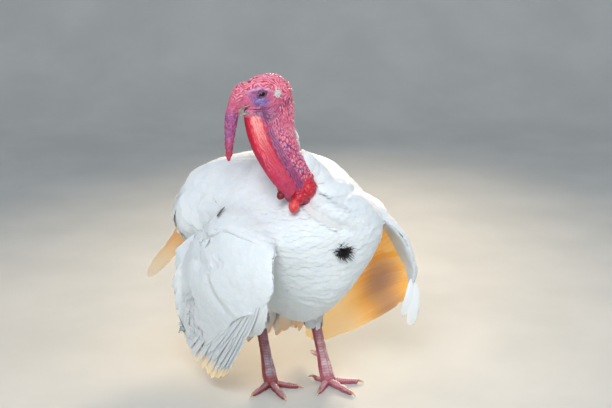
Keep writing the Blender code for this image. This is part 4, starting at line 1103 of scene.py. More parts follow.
# %% The arms of the wings and the stump of the tail
def wing_sheet(pose, cover, span=(0.0, 1.0), swell=1.0):
    """The arm of a wing as one closed sheet, bent through its edges and towards the tips.

    cover is how far it reaches from the rear edge towards the tips, span the part of the arm.
    """
    t = np.linspace(*span, 44)[:, None, None]
    front, rear, tips = (along(line, t[:, 0, 0])[:, None]
                         for line in (pose.front, pose.rear, pose.tips))
    shares = np.array((0.6, 1.0, 0.97, 0.76)) * cover
    far = mix(rear, tips, np.interp(t, (0, 0.12, 0.5, 1.0), shares))
    arm, rest = (np.linalg.norm(d, axis=2, keepdims=True) for d in (rear - front, far - rear))
    bend = np.minimum(arm / (arm + rest), 0.85)
    control = (rear - (1 - bend) ** 2 * front - bend ** 2 * far) / (2 * bend * (1 - bend))
    a = np.linspace(0, 2 * pi, 64, endpoint=False)[None, :, None]
    c = (1 + np.cos(a)) / 2
    middle = (1 - c) ** 2 * front + 2 * c * (1 - c) * control + c ** 2 * far
    chordwise = 2 * (1 - c) * (control - front) + 2 * c * (far - control)
    out = unit(np.cross(chordwise, np.gradient(middle, axis=0)))
    out = out * np.sign(dot(out, pose.outward))
    y = np.sin(a)
    thick = np.interp(t, (0, 0.15, 0.35, 0.7, 1), (0.005, 0.012, 0.018, 0.014, 0.009)) * swell
    outer = mix(thick, 0.0030, ramp(c, bend * 0.6, 0.95))
    inner = mix(thick, 0.0020, ramp(c, 0.02, bend * 0.7))
    rings = middle + out * np.where(y > 0, outer, inner) * np.sign(y) * np.abs(y) ** 0.65
    points, faces = loft(rings)
    corners = points[faces[0]]
    across = np.cross(corners[:, 1] - corners[:, 0], corners[:, 2] - corners[:, 0])
    volume = dot(corners[:, 0] - points.mean(0), across).sum()
    return points, faces if volume > 0 else [f[:, ::-1] for f in faces]


def tail_stump():
    down = unit(vec(0, 0.70, -0.71))
    return ellipsoid(TAIL_BASE + down * 0.050, (0.110, 0.088, 0.036),
                     (down, vec(1, 0, 0), np.cross(vec(1, 0, 0), down)), 28, 20)


# %% [markdown]
# Every feather asks the same of the surface that it lies on: which place on it is nearest, and
# which way is out there. The Shrinkwrap modifier answers that for one mesh at a time. A tree of
# the surface's faces answers it for thousands of points, with normals smoothed over each face.

# %% A surface that feathers are laid on
def crease(guide, path, depth, over):
    """Presses a fold into the plumage and rounds the feathers that bulge over it."""
    path = guide.nearest(along(np.array(path), np.linspace(0, 1, 60)))[0]
    tree = tree_of(path)
    found = [tree.find(p) for p in guide.points.tolist()]
    gap = np.array([f[2] for f in found])
    near = np.array([f[1] for f in found])
    above = (guide.points - path[near]) @ unit(vec(*over))
    fade = np.sin(pi * np.clip(near / 59, 0.03, 0.97)) ** 0.6
    bulge = np.exp(-((above - 0.024) / 0.017) ** 2) * ramp(-gap, -0.060, -0.035)
    press = 0.85 * bulge - np.exp(-(gap / 0.0085) ** 2)
    return guide.moved(depth * press * fade)


class Guide:
    """A smooth surface that feathers are laid on, and the nearest place on it to any point."""

    def __init__(self, points, quads):
        self.points, self.quads = points, quads
        self.normals = point_normals(points, quads)
        self.tree = BVHTree.FromPolygons(points.tolist(), quads.tolist())

    def moved(self, height):
        return Guide(self.points + self.normals * height[:, None], self.quads)

    def nearest(self, places):
        flat = np.asarray(places, float).reshape(-1, 3)
        hits = [self.tree.find_nearest(p) for p in flat.tolist()]
        found = np.array([h[0] for h in hits])
        corners = self.quads[[h[2] for h in hits]]
        weight = 1 / (np.linalg.norm(self.points[corners] - found[:, None], axis=2) + 2e-4)
        normal = unit((self.normals[corners] * weight[..., None]).sum(1))
        return found.reshape(places.shape), normal.reshape(places.shape)

    def candidates(self, count, seed):
        """Points spread at random over the surface, equally thick everywhere."""
        random = np.random.default_rng(seed)
        p = self.points[self.quads]
        area = np.linalg.norm(np.cross(p[:, 2] - p[:, 0], p[:, 3] - p[:, 1]), axis=1) / 2
        face = p[random.choice(len(p), count, p=area / area.sum())]
        u, v = random.random((2, count, 1))
        return mix(mix(face[:, 0], face[:, 1], u), mix(face[:, 3], face[:, 2], u), v)


# %% [markdown]
# Feathers do not grow from the outline that one sees but from a skin some way inside it. The
# solids' torso and thighs, with the arms of the wings and the stump of the tail, are melted into
# one surface for the feathers to lie on. The skin itself is the same surface drawn in by the
# depth of the coat. Folds are pressed into the surface first, so the feathers follow them.

# %% The surface under the plumage
body_parts = [node_arrays(name) for name in ("torso", "thigh_left", "thigh_right")] + [tail_stump()]
shoulders = [wing_sheet(pose, 0.3, span=(0.0, 0.40)) for pose in (RIGHT_WING, LEFT_WING)]
points, quads = melt(body_parts + shoulders, BODY_VOXEL, 16)
body_guide = Guide(points, quads)
for path, depth, over in CREASES:
    body_guide = crease(body_guide, path, depth, over)
for centre, radius, height in SWELLINGS:
    away = np.linalg.norm(body_guide.points - vec(*centre), axis=1)
    body_guide = body_guide.moved(height * np.exp(-(away / radius) ** 2))
ripple = turbulence(body_guide.points, (0.034, 0.034, 0.015), 2)
body_guide = body_guide.moved(0.0017 * ripple)
print("body surface:", len(quads), "quads")

arms = [wing_sheet(pose, 0.0, swell=0.6) for pose in (RIGHT_WING, LEFT_WING)]
skin_points, skin_quads = melt(body_parts + arms, BODY_VOXEL, 10)
skin_points = skin_points - point_normals(skin_points, skin_quads) * COAT_DEPTH
skin_points = relax(skin_points, skin_quads, 4)

# %% [markdown]
# A feather is a flat vane on a shaft, slightly cupped, widest past its middle and rounded at the
# end. Each one here is a thin closed blade of quads with a keel below, so it has a real edge and
# a back. All blades of a piece are built in one go from arrays. Hair strands or instances of one
# feather would be lighter, but neither can follow a body, nor be kept as plain mesh.

# %% Build feathers as closed blades
PATCH = 0.003           # width of a feather's patch on the baking map


def blade_faces(rows, cols):
    """Faces of one closed blade: its top, its two undersides, and the ends of these."""
    k = np.arange(rows - 1)[:, None] * cols
    v = np.arange(cols - 1)[None, :]
    top = np.stack([k + v, k + v + 1, k + cols + v + 1, k + cols + v], -1).reshape(-1, 4)
    low = rows * cols + np.arange(rows - 1)
    edge = np.arange(rows - 1) * cols
    left = np.stack([edge, edge + cols, low + 1, low], -1)
    right = np.stack([edge + cols - 1, low, low + 1, edge + 2 * cols - 1], -1)
    final = (rows - 1) * cols
    first = np.array([(rows * cols, i + 1, i) for i in range(cols - 1)])
    last = np.array([(rows * cols + rows - 1, final + i, final + i + 1) for i in range(cols - 1)])
    return top, left, right, first, last


class Feathers:
    """Blades given by their top points (feather, station, across) and undersides' middles."""

    PARTS = ("top", "under", "along_shaft", "across_shaft", "root_uv", "tone", "warm_above",
             "warm_below", "shade")

    def __init__(self, top, under, along_shaft, across_shaft, root_uv, tone, warm_above=0.0,
                 warm_below=0.0, shade=0.0):
        self.top, self.under = top, under
        self.along_shaft, self.across_shaft = along_shaft, across_shaft
        self.root_uv, self.tone = root_uv, tone
        stations = np.zeros(under.shape[:2])
        self.warm_above = stations + warm_above
        self.warm_below = stations + warm_below
        self.shade = stations + shade

    def chosen(self, keep):
        return Feathers(*(getattr(self, part)[keep] for part in self.PARTS))

    def build(self, name, look):
        count, rows, cols = self.top.shape[:3]
        each = rows * (cols + 1)
        points = np.concatenate([self.top.reshape(count, -1, 3), self.under], 1).reshape(-1, 3)
        start = (np.arange(count) * each)[:, None, None]
        faces = [(f[None] + start).reshape(-1, f.shape[1]) for f in blade_faces(rows, cols)]
        obj = add_piece(name, points, faces, look, "white_feathers")
        obj.data.set_sharp_from_angle(angle=radians(75))
        self.store_light(obj.data, cols)
        self.store_maps(obj.data, faces, each, cols)
        triangles = sum(len(f) * (f.shape[1] - 2) for f in faces)
        print(f"{name}: {count} feathers, {triangles} triangles")
        return obj

    def store_light(self, mesh, cols):
        """Warm light on each face, and how much of it is kept off each point."""
        above, below = self.warm_above[:, :-1], self.warm_below[:, :-1]
        ends = [np.repeat(self.warm_above[:, i, None], cols - 1, 1) for i in (0, -1)]
        warmth = [np.repeat(above, cols - 1, 1), below, below, *ends]
        set_attribute(mesh, "warmth", "FLOAT", "FACE", np.concatenate([w.ravel() for w in warmth]))
        shade = np.concatenate([np.repeat(self.shade, cols, 1), self.shade], 1)
        set_attribute(mesh, "shade", "FLOAT", "POINT", shade.ravel())

    def store_maps(self, mesh, faces, each, cols):
        """Each feather's own tone, its vane map in metres, and its patch on the baking map."""
        count = len(self.tone)
        set_attribute(mesh, "tone", "FLOAT", "POINT", np.repeat(self.tone, each))
        corners = np.empty(len(mesh.loops), np.int32)
        mesh.loops.foreach_get("vertex_index", corners)
        shaft = self.along_shaft
        lengthwise = np.concatenate([np.repeat(shaft, cols, 1), shaft], 1)
        crosswise = np.concatenate([self.across_shaft.reshape(count, -1), 0 * shaft], 1)
        vane = np.stack([lengthwise, crosswise], -1).reshape(-1, 2)
        set_uv(mesh, "vane", vane[corners])
        reach = np.repeat(np.maximum(lengthwise.max(1), 1e-6), each)[:, None]
        local = np.clip((vane / reach - (0.5, 0.0))[corners], -0.5, 0.5)
        baked = self.root_uv[corners // each] + local * PATCH * 0.94
        # the undersides have a patch of their own beside the one of the top
        is_under = [np.full(f.size, u) for f, u in zip(faces, (0.0, 1.0, 1.0, 0.0, 0.0))]
        baked[:, 0] += np.concatenate(is_under) * PATCH
        set_uv(mesh, "OFBake", baked)


def unwrap(points, axis_y=(BREAST_Y - 0.03, RUMP_Y + 0.12), centre=(0.0, WIDEST_Z)):
    """A place on the body's unrolled map: round the body, and from front to rear."""
    round_it = np.arctan2(points[:, 0] - centre[0], points[:, 2] - centre[1]) / (2 * pi) + 0.5
    down_it = (points[:, 1] - axis_y[0]) / (axis_y[1] - axis_y[0])
    return np.clip(np.column_stack([round_it, down_it]), 0, 1) * 0.97 + 0.012


# %% [markdown]
# A small feather's shaft is traced over the surface step by step in the direction in which the
# plumage lies, and its edges are let down onto the surface too, so that it follows the body both
# ways, as a real one does. Laying flat cards at the right angle would be quicker, but they stand
# off a round body.

# %% Lay feathers on a surface
COVERT_SHAPE = ((0.0, 0.22), (0.14, 0.58), (0.32, 0.88), (0.52, 1.0), (0.72, 0.96), (0.86, 0.78),
                (0.95, 0.50), (1.0, 0.14))
ACROSS = np.array([-1.0, -0.52, 0.0, 0.52, 1.0])


def trace(guide, roots, lie, length, stations, free=0.35, turn=0.55):
    """Shaft points from each root, following the lie of the plumage over the surface."""
    place, normal = guide.nearest(roots)
    heading = lie(place)
    heading = unit(heading - normal * dot(heading, normal))
    paths, normals, headings = [place], [normal], [heading]
    for k in range(1, len(stations)):
        step = (stations[k] - stations[k - 1]) * length[:, None]
        ahead = place + heading * step
        found, normal = guide.nearest(ahead)
        drop = found - ahead
        size = np.linalg.norm(drop, axis=1, keepdims=True)
        place = ahead + drop * np.minimum(1, free * step / np.maximum(size, 1e-9))
        wanted = lie(place)
        wanted = unit(wanted - normal * dot(wanted, normal))
        heading = unit(mix(heading, wanted, turn * step / np.maximum(length[:, None], 1e-9) * 3))
        held = 1 - ramp(np.linalg.norm(found - place, axis=1, keepdims=True), 0.002, 0.006)
        heading = unit(heading - normal * dot(heading, normal) * held)
        paths.append(place)
        normals.append(normal)
        headings.append(heading)
    return np.stack(paths, 1), np.stack(normals, 1), np.stack(headings, 1)


def lay_feathers(guide, roots, lie, length, half_width, seed, root_depth=COAT_DEPTH, lift=0.0012,
                 swerve=0.09, free=0.35, cup=0.06, ragged=0.05, thickness=0.0003):
    """Contour feathers, one at each root, overlapping along the lie of the plumage."""
    random = np.random.default_rng(seed)
    count = len(roots)
    stations, profile = np.array(COVERT_SHAPE).T
    turn = random.normal(0, swerve, count)[:, None]
    root_normals = guide.nearest(roots)[1]

    def swerved(places):
        d = lie(places)
        return d * np.cos(turn) + np.cross(root_normals, unit(d)) * np.sin(turn)

    path, normal, heading = trace(guide, roots, swerved, length, stations, free)
    side = unit(np.cross(normal, heading))
    width = half_width[:, None] * profile * (1 + random.normal(0, ragged, (count, len(profile))))
    uneven = random.normal(0, ragged, (count, len(profile), 2))
    sunk, risen = (np.broadcast_to(d, count)[:, None] for d in (root_depth, lift))
    height = risen * stations ** 2 - sunk * (1 - stations) ** 1.7
    height = height * random.uniform(0.85, 1.15, (count, 1))
    height = height + random.uniform(-0.0002, 0.0003, (count, 1))
    sag = (cup * half_width[:, None] * profile)[..., None]
    edges = []
    for k, sign in enumerate((-1, 1)):
        reach = width * (1 + uneven[..., k])
        out = path + side * (sign * reach)[..., None]
        found, _ = guide.nearest(out)
        drop = found - out
        size = np.linalg.norm(drop, axis=2, keepdims=True)
        out = out + drop * np.minimum(1, 0.5 * reach[..., None] / np.maximum(size, 1e-9))
        edges.append(out + normal * (height[..., None] - sag))
    ridge = path + normal * height[..., None]
    thick = thickness * (1 - 0.8 * stations) + 0.00008
    middles = [mix(e, ridge, 0.48) + normal * 0.35 * sag for e in edges]
    top = np.stack([edges[0], middles[0], ridge, middles[1], edges[1]], 2)
    under = ridge - normal * thick[None, :, None]
    shaft = stations[None] * length[:, None]
    across = width[..., None] * ACROSS
    return Feathers(top, under, shaft, across, unwrap(roots), random.random(count))


# %% [markdown]
# Plumage parts at the foot of the neck, flows down the breast and back along the flanks, and
# gathers again at the tail. That is the shape of the field between a source and a sink, so the
# lie is worked out that way, with a third pull down each leg. Feathers are short at the neck,
# longer on the breast, longest on the back and rump, and soft and short on the thighs.

# %% The lie and size of the body feathers
NECK_FOOT = vec(-0.045, -0.100, 0.500)
TAIL_ROOT = vec(0.0, RUMP_Y + 0.030, WIDEST_Z - 0.030)
HOCKS = (vec(-0.048, 0.076, 0.166), vec(0.065, 0.022, 0.166))


def leg_share(places):
    """1 on a thigh, 0 on the body."""
    share = np.zeros(places.shape[:-1])
    for hock in HOCKS:
        rise = (places[..., 2:] - hock[2]) / 0.055
        out = np.linalg.norm((places - hock)[..., :2] - vec(0, -0.018) * rise, axis=-1)
        low = ramp(-places[..., 2], -0.235, -0.195)
        share = np.maximum(share, ramp(-out, -0.075, -0.045) * low)
    return share[..., None]


def body_lie(places):
    from_neck, to_tail = places - NECK_FOOT, TAIL_ROOT - places
    pull = from_neck / (dot(from_neck, from_neck) + 0.002)
    pull = pull + 1.1 * to_tail / (dot(to_tail, to_tail) + 0.002)
    pull = unit(pull) + vec(0, 0, -0.35) * ramp(-places[..., 1:2], -0.02, 0.12)
    return unit(mix(unit(pull), vec(0, 0.10, -1.0), leg_share(places)))


def body_feather_length(places):
    out = np.linalg.norm(places - NECK_FOOT, axis=1)
    length = np.interp(out, (0.03, 0.07, 0.12, 0.20, 0.32, 0.45),
                       (0.016, 0.024, 0.034, 0.044, 0.056, 0.072))
    back = ramp(places[:, 2], 0.42, 0.50) * ramp(places[:, 1], -0.02, 0.15)
    belly = ramp(-places[:, 2], -0.26, -0.21)
    length = length * (1 + 0.22 * back - 0.22 * belly)
    return mix(length, 0.030, leg_share(places)[:, 0])


def grow_body_coat():
    spots = body_guide.candidates(60000, 31)
    keep = (spots - NECK_FOOT) @ unit(vec(-0.35, -0.15, 1)) < 0.085
    for hock in HOCKS:
        keep &= np.linalg.norm(spots - hock, axis=1) > 0.012
    spots = spots[keep]
    length = body_feather_length(spots)
    picked = scattered(spots, 0.27 * length, 32)
    spots, length = spots[picked], length[picked]
    random = np.random.default_rng(33)
    length = length * random.uniform(0.9, 1.15, len(length))
    roots = spots - body_lie(spots) * length[:, None] * 0.45
    # the rump's right side is ruffled: long loose feathers hang past its outline
    x, y, z = spots.T
    loose = ramp(y, 0.02, 0.14) * ramp(-x, 0.06, 0.13) * ramp(z, 0.30, 0.36)
    length = length * (1 + 0.35 * loose)
    lift = 0.0008 + loose * random.uniform(0.001, 0.009, len(loose))
    return lay_feathers(body_guide, roots, body_lie, length, 0.42 * length, 34, lift=lift), spots


def ruffle(near, reach, heading, lengths, count, seed, lift, width=0.2):
    """Long loose feathers that hang off the body from round one place."""
    random = np.random.default_rng(seed)
    spots = body_guide.candidates(30000, seed)
    spots = spots[np.linalg.norm((spots - vec(*near)) / reach, axis=1) < 1][:count]
    fan = unit(vec(*heading) + random.normal(0, 0.16, (len(spots), 3)))
    length = random.uniform(*lengths, len(spots))
    heave = random.uniform(*lift, len(spots))
    return lay_feathers(body_guide, spots, lambda places: fan, length, width * length, seed + 1,
                        lift=heave, free=0.5, swerve=0.05)


body_coat, coat_spots = grow_body_coat()

# %% [markdown]
# A white feather is never one flat white: barbs catch the light in fine lines, the shaft is
# creamier, and each feather differs a little from the next. Where the low sun stands behind a
# thin vane, it glows yellow. Real light through thousands of thin blades would need far more
# samples, so the glow is a painted colour with a little light of its own.

# %% The feathers' material
LIT_THROUGH = srgb(250, 180, 62)
LIT_TIP = srgb(250, 222, 170)
IN_SHADE = srgb(160, 122, 104)
FEATHER_COOL = srgb(232, 238, 241)
FEATHER_WARM = srgb(245, 246, 243)


def feather_material(name, cool, warm, roughness=0.62, glow=0.30):
    """White vanes: barbs and shaft in the surface, small shifts of tone from feather to feather.

    The attribute "warmth" is 0 on a plain white vane and 1 where the light of the low lamp comes
    through it; "shade" is 1 where something behind the vane keeps that light off.
    """
    made, n, shader = new_material(name, roughness, Sheen_Weight=0.12, Sheen_Roughness=0.5,
                                   Specular_IOR_Level=0.25, Subsurface_Weight=0.10,
                                   Subsurface_Scale=0.004)
    barbs = place_group(n, BARBS)
    tissue = place_group(n, TISSUE, Patch_Size=0.045, Pore_Size=0.004)
    tone = stored(n, "tone")
    colour = n.colours(n.span(tone, 0.0, 1.0, 0.30, 0.70), tuple(cool), tuple(warm))
    colour = n.colours(n.span(barbs["Barbs"], 0.0, 1.0, 0.09, 0.0), colour, tuple(cool * 0.72))
    colour = n.colours(n.math("MULTIPLY", barbs["Shaft"], 0.30), colour, tuple(srgb(236, 232, 218)))
    colour = n.colours(n.span(tissue["Patches"], 0.35, 0.75, 0.0, 0.08), colour, tuple(cool * 0.88))
    if glow:
        warmth = stored(n, "warmth")
        vane = n.add("ShaderNodeUVMap", {"uv_map": "vane"}).outputs["UV"]
        reach = n.add("ShaderNodeSeparateXYZ", Vector=vane).outputs["X"]
        lit = n.colours(n.span(reach, 0.12, 0.24), tuple(LIT_THROUGH), tuple(LIT_TIP))
        lit = n.colours(n.span(tone, 0.0, 1.0, 0.0, 0.35), lit, tuple(LIT_TIP))
        lit = n.colours(n.math("MULTIPLY", barbs["Shaft"], 0.40), lit, tuple(srgb(252, 232, 196)))
        lit = n.colours(n.span(barbs["Barbs"], 0.0, 1.0, 0.25, 0.0), lit, tuple(LIT_THROUGH * 0.60))
        lit = n.colours(stored(n, "shade"), lit, tuple(IN_SHADE))
        colour = n.colours(warmth, colour, lit)
        wire(n, shader, Emission_Color=n.colours(warmth, (0, 0, 0), lit))
        shader.inputs["Emission Strength"].default_value = glow
    wire(n, shader, Base_Color=colour, Normal=bump(n, barbs["Height"], 0.30, 0.0002))
    return made


# %% [markdown]
# The body's feathers become three pieces, for breast, flanks and back, so that none grows too
# large to work with. The skin below them is what shows where feathers part.

# %% Dress the body
white_plumage = feather_material("white_plumage", FEATHER_COOL, FEATHER_WARM, glow=0.12)
down_look, n, shader = new_material("down_skin", 0.9, Sheen_Weight=0.2)
down = place_group(n, TISSUE, Patch_Size=0.02, Pore_Size=0.0016)
pale = n.colours(down["Pores"], tuple(srgb(206, 208, 206)), tuple(srgb(232, 232, 228)))
wire(n, shader, Base_Color=pale, Normal=bump(n, down["Pores"], 0.5, 0.001))
body_skin = add_piece("plumage_skin", skin_points, [skin_quads], down_look, "white_feathers")
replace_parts(body_skin, "torso", "thigh_left", "thigh_right")

in_front, above = coat_spots[:, 1] < -0.06, coat_spots[:, 2] >= 0.43
for name, chosen in (("breast_coat", in_front), ("flank_coat", ~in_front & ~above),
                     ("back_coat", ~in_front & above)):
    body_coat.chosen(chosen).build(name, white_plumage)
ruffle((-0.136, 0.222, 0.405), (0.045, 0.070, 0.060), (-0.46, 0.45, -0.80), (0.055, 0.105), 110, 36,
       (0.004, 0.018)).build("rump_feathers", white_plumage)

# %% [markdown]
# A wing's long feathers grow in one row from the rear of the arm and hand: broad secondaries,
# then narrower primaries. Each is stiff, with a shaft nearer its leading edge, and its leading
# edge lies over the next feather out. Two rows of coverts hide their roots and the small
# coverts of the arm hide those. The long ones are built one by one from the pose of the wing,
# with a raised shaft and a few splits in the edge; the small ones are laid on the arm.

# %% Long feathers, one by one
LONG_ACROSS = np.array([-1.0, -0.72, -0.42, -0.16, 0.0, 0.16, 0.42, 0.72, 1.0])
FLIGHT_SHAPE = ((0.0, 0.16), (0.04, 0.30), (0.12, 0.62), (0.28, 0.88), (0.55, 1.0), (0.78, 0.95),
                (0.88, 0.82), (0.94, 0.64), (0.98, 0.38), (1.0, 0.12))
BROAD_SHAPE = ((0.0, 0.16), (0.04, 0.30), (0.12, 0.62), (0.28, 0.88), (0.55, 1.0), (0.85, 0.98),
               (0.93, 0.90), (0.97, 0.74), (0.99, 0.55), (1.0, 0.34))
SHINGLE = radians(1.3)  # how far each long feather is tilted so that it lies over the next
SECONDARIES, PRIMARIES = 15, 10
# where the small coverts end in a soft step over the larger ones, as for the body's creases
FOLDS = {"right": (([(-0.213, 0.075, 0.385), (-0.226, 0.046, 0.354), (-0.234, -0.012, 0.315),
                     (-0.229, -0.046, 0.272), (-0.216, -0.081, 0.245), (-0.202, -0.105, 0.225)],
                    0.0042, (0, -0.8, 0.6)),)}


def long_feathers(roots, tips, outward, width, lead, lean, bow, seed, stations=30, tilt=SHINGLE,
                  shaft=0.0011, splits=0.035, shape=FLIGHT_SHAPE):
    """Stiff blades from roots to tips. lead is the share of the width ahead of the shaft."""
    random = np.random.default_rng(seed)
    count = len(roots)
    u = 1 - np.linspace(1, 0, stations) ** 1.25
    profile = np.interp(u, *np.array(shape).T)
    axis = tips - roots
    length = np.linalg.norm(axis, axis=1)
    ahead = unit(axis)
    out = unit(outward - ahead * dot(outward, ahead))
    side = np.cross(ahead, out) * lean
    tilt = np.broadcast_to(tilt, count)[:, None]
    side, out = side * np.cos(tilt) + out * np.sin(tilt), out * np.cos(tilt) - side * np.sin(tilt)
    middle = roots[:, None] + axis[:, None] * u[:, None]
    middle = middle + out[:, None] * (bow * 4 * u * (1 - u))[:, None]
    half = width[:, None] * profile
    lead = np.broadcast_to(lead, count)[:, None, None]
    reach = np.where(LONG_ACROSS > 0, lead, 1 - lead) * LONG_ACROSS
    both_edges = (count, stations, 2)
    notch = np.where(random.random(both_edges) < splits, random.uniform(0.72, 0.92, both_edges), 1)
    notch[:, :3], notch[:, -2:] = 1, 1
    worn = notch * (1 + random.normal(0, 0.008, both_edges))
    trim = np.ones((count, stations, len(LONG_ACROSS)))
    trim[..., -1], trim[..., 0] = worn[..., 0], worn[..., 1]
    across = half[..., None] * reach * trim
    sweep = 0.35 * np.clip(u / 0.2, 0, 1) * (1 - ramp(u, 0.85, 1.0) * 0.9)
    swept = np.abs(across) * sweep[:, None]
    dome = -0.022 * across ** 2 / np.maximum(half.max(1), 1e-4)[:, None, None]
    stem = shaft * (1 - 0.85 * u)[None, :] * np.minimum(1, half / 0.004)
    raised = dome + stem[..., None] * np.exp(-(LONG_ACROSS / 0.07) ** 2)
    top = (middle[:, :, None] + side[:, None, None] * across[..., None]
           + ahead[:, None, None] * swept[..., None] + out[:, None, None] * raised[..., None])
    under = middle - out[:, None] * (stem * 1.1 + 0.00025)[..., None]
    return top, under, u[None] * length[:, None], across, random.random(count)


def arm_uv(t, row, rows=8):
    """Roots on the wing's own unrolled map: along the arm, and one band for each row."""
    return np.column_stack([0.02 + 0.94 * t, np.full(len(t), 0.02 + 0.96 * (row + 0.5) / rows)])


def gathered(name, groups, look):
    """Joins groups of long feathers that have the same stations into one piece."""
    parts = [np.concatenate([getattr(g, part) for g in groups]) for part in Feathers.PARTS]
    return Feathers(*parts).build(name, look)


def group_of(feathers, root_uv, above=0.0, below=0.0, shade=0.0):
    """Long feathers with the place of their roots and the light on their two sides."""
    top, under, along_it, across, tone = feathers
    return Feathers(top, under, along_it, across, root_uv, tone, above, below, shade)


# %% [markdown]
# A wing's class knows, for any place, how far it lies along the arm and from the front edge to
# the tips, and which way the feathers run there. The rows of long feathers, the thumb and the
# small coverts are each a method. The right wing shows its outside, where small coverts hide
# nearly all, and the left one its inside, where the undersides of the long feathers are lit.

# %% One wing and its rows of feathers
def behind_hand(places):
    """1 where the left hand, on the far side of the feathers, keeps the low light off them."""
    away = np.linalg.norm((places - vec(0.243, -0.040, 0.212)) / (0.08, 0.062, 0.064), axis=-1)
    return 0.95 * np.exp(-away ** 3)


class Wing:
    """One wing: how its feathers lie, and the pieces that it is made of."""

    def __init__(self, word, pose, seed):
        self.word, self.pose, self.seed = word, pose, seed
        self.lean = 1 if pose.side > 0 else -1
        t, s = np.meshgrid(np.linspace(0, 1, 50), np.linspace(0, 1, 40), indexing="ij")
        front, tips = along(pose.front, t.ravel()), along(pose.tips, t.ravel())
        self.spots = np.column_stack([t.ravel(), s.ravel()])
        self.flow = unit(tips - front)
        self.tree = tree_of(mix(front, tips, self.spots[:, 1:]))
        # the sheet that the small coverts lie on sinks into the shoulder and is a little uneven
        points, faces = wing_sheet(pose, 0.98)
        sunk, normal = body_guide.nearest(points)
        t, s = self.where(points).T
        rising = np.maximum(ramp(t, 0.06, 0.36), ramp(s, 0.40, 0.72))[:, None]
        points = mix(sunk - normal * 0.004, points, rising)
        guide = Guide(points, faces[0])
        self.sheet = guide.moved(0.0016 * turbulence(points, 0.032, 2))
        self.edge = tree_of(along(pose.front, np.linspace(0, 1, 160)))

    def where(self, places):
        """(t along the arm, share of the way to the tips) of each place."""
        return self.spots[self.nearest(places)]

    def nearest(self, places):
        return np.array([self.tree.find(p)[1] for p in places.reshape(-1, 3).tolist()])

    def lie(self, places):
        return self.flow[self.nearest(places)].reshape(places.shape)

    def flights(self):
        """Secondaries and primaries, as two groups."""
        pose, right = self.pose, self.pose.side < 0
        i = np.arange(SECONDARIES + PRIMARIES)
        t = (i + 0.5) / len(i)
        inner = i < SECONDARIES
        outer_share = np.clip((i - SECONDARIES) / PRIMARIES, 0, 1)
        random = np.random.default_rng(self.seed)
        tips = along(pose.tips, t) + random.normal(0, 0.0016, (len(i), 3))
        first = along(pose.roots[:3], np.clip((i + 0.5) / SECONDARIES, 0, 1))
        last = along(pose.roots[2:], np.clip(outer_share + 0.5 / PRIMARIES, 0, 1))
        roots = np.where(inner[:, None], first, last)
        roots = roots - 0.02 * unit(tips - roots)
        width = np.where(inner, mix(0.070, 0.060, i / SECONDARIES), mix(0.056, 0.040, outer_share))
        if right:
            tips = tips + inner[:, None] * 0.008 * unit(tips - roots)
        groups = []
        for chosen, shape, lead, tuck in ((inner, BROAD_SHAPE, 0.42, right),
                                          (~inner, FLIGHT_SHAPE, 0.30, False)):
            made = long_feathers(roots[chosen], tips[chosen], pose.outward, width[chosen], lead,
                                 self.lean, 0.006, self.seed + 1, shape=shape,
                                 tilt=SHINGLE * (0.3 if right else 1))
            made = self.tucked(made) if tuck else made
            light = {"below": 1.0, "shade": behind_hand(made[1])}
            if right:
                tip_glow = np.linspace(0, 1, 30) * ramp(t[chosen], 0.52, 0.75)[:, None]
                light = {"above": 0.9 * ramp(tip_glow, 0.62, 0.96)}
            groups.append(group_of(made, arm_uv(t[chosen], 0), **light))
        return groups

    def tucked(self, made, share=1.0):
        """The same long feathers, moved in where they would stand through the small ones."""
        top, under, *rest = made
        out = self.pose.outward
        starts = (top + out * 0.08).reshape(-1, 3)
        hits = [self.sheet.tree.ray_cast(p, -out, 0.16)[3] for p in starts.tolist()]
        height = np.array([-1.0 if h is None else h - 0.08 for h in hits])
        height = height.reshape(top.shape[:3]).max(2)
        shift = np.clip(height + 0.0022, 0, 0.03)
        for k in range(1, shift.shape[1]):
            shift[:, k] = np.maximum(shift[:, k], 0.96 * shift[:, k - 1])
        for _ in range(3):
            shift[:, 1:-1] = (shift[:, :-2] + 2 * shift[:, 1:-1] + shift[:, 2:]) / 4
        shift = shift * np.broadcast_to(share, len(shift))[:, None]
        return top - shift[..., None, None] * out, under - shift[..., None] * out, *rest

    def covert_rows(self):
        pose, out = self.pose, self.pose.outward
        random = np.random.default_rng(self.seed + 2)
        groups = []
        for row, count, reach, lift, width in ((1, 21, 0.80, 0.0025, 0.050),
                                               (2, 19, 0.62, 0.0035, 0.052)):
            t = (np.arange(count) + 0.5) / count
            flight_root, flight_tip = along(pose.roots, t), along(pose.tips, t * 0.95)
            back = unit(flight_root - flight_tip)
            root = flight_root + back * 0.028 + out * lift * 0.55
            far = reach * random.uniform(0.96, 1.04, (count, 1))
            tip = mix(flight_root, flight_tip, far) + out * lift
            made = long_feathers(root, tip, out, np.full(count, width), 0.45, self.lean, 0.006,
                                 self.seed + 3 + row, tilt=SHINGLE * 0.3, shaft=0.0005)
            if pose.side < 0:
                made = self.tucked(made, 1 - ramp(t, 0.55, 0.75))
            groups.append(group_of(made, arm_uv(t, row), below=float(pose.side > 0),
                                   shade=behind_hand(made[1])))
        return groups

    def alula(self):
        """The thumb's few short feathers, which hang free at the wrist."""
        pose = self.pose
        roots, tips = pose.thumb[:, 0], pose.thumb[:, 1]
        made = long_feathers(roots, tips, vec(-0.35, -1, 0.1) + 0 * roots, pose.thumb_width, 0.5,
                             self.lean, 0.010, self.seed + 9, tilt=radians(3), shaft=0.0007)
        return group_of(made, arm_uv(np.array([0.3, 0.4, 0.5]), 4))

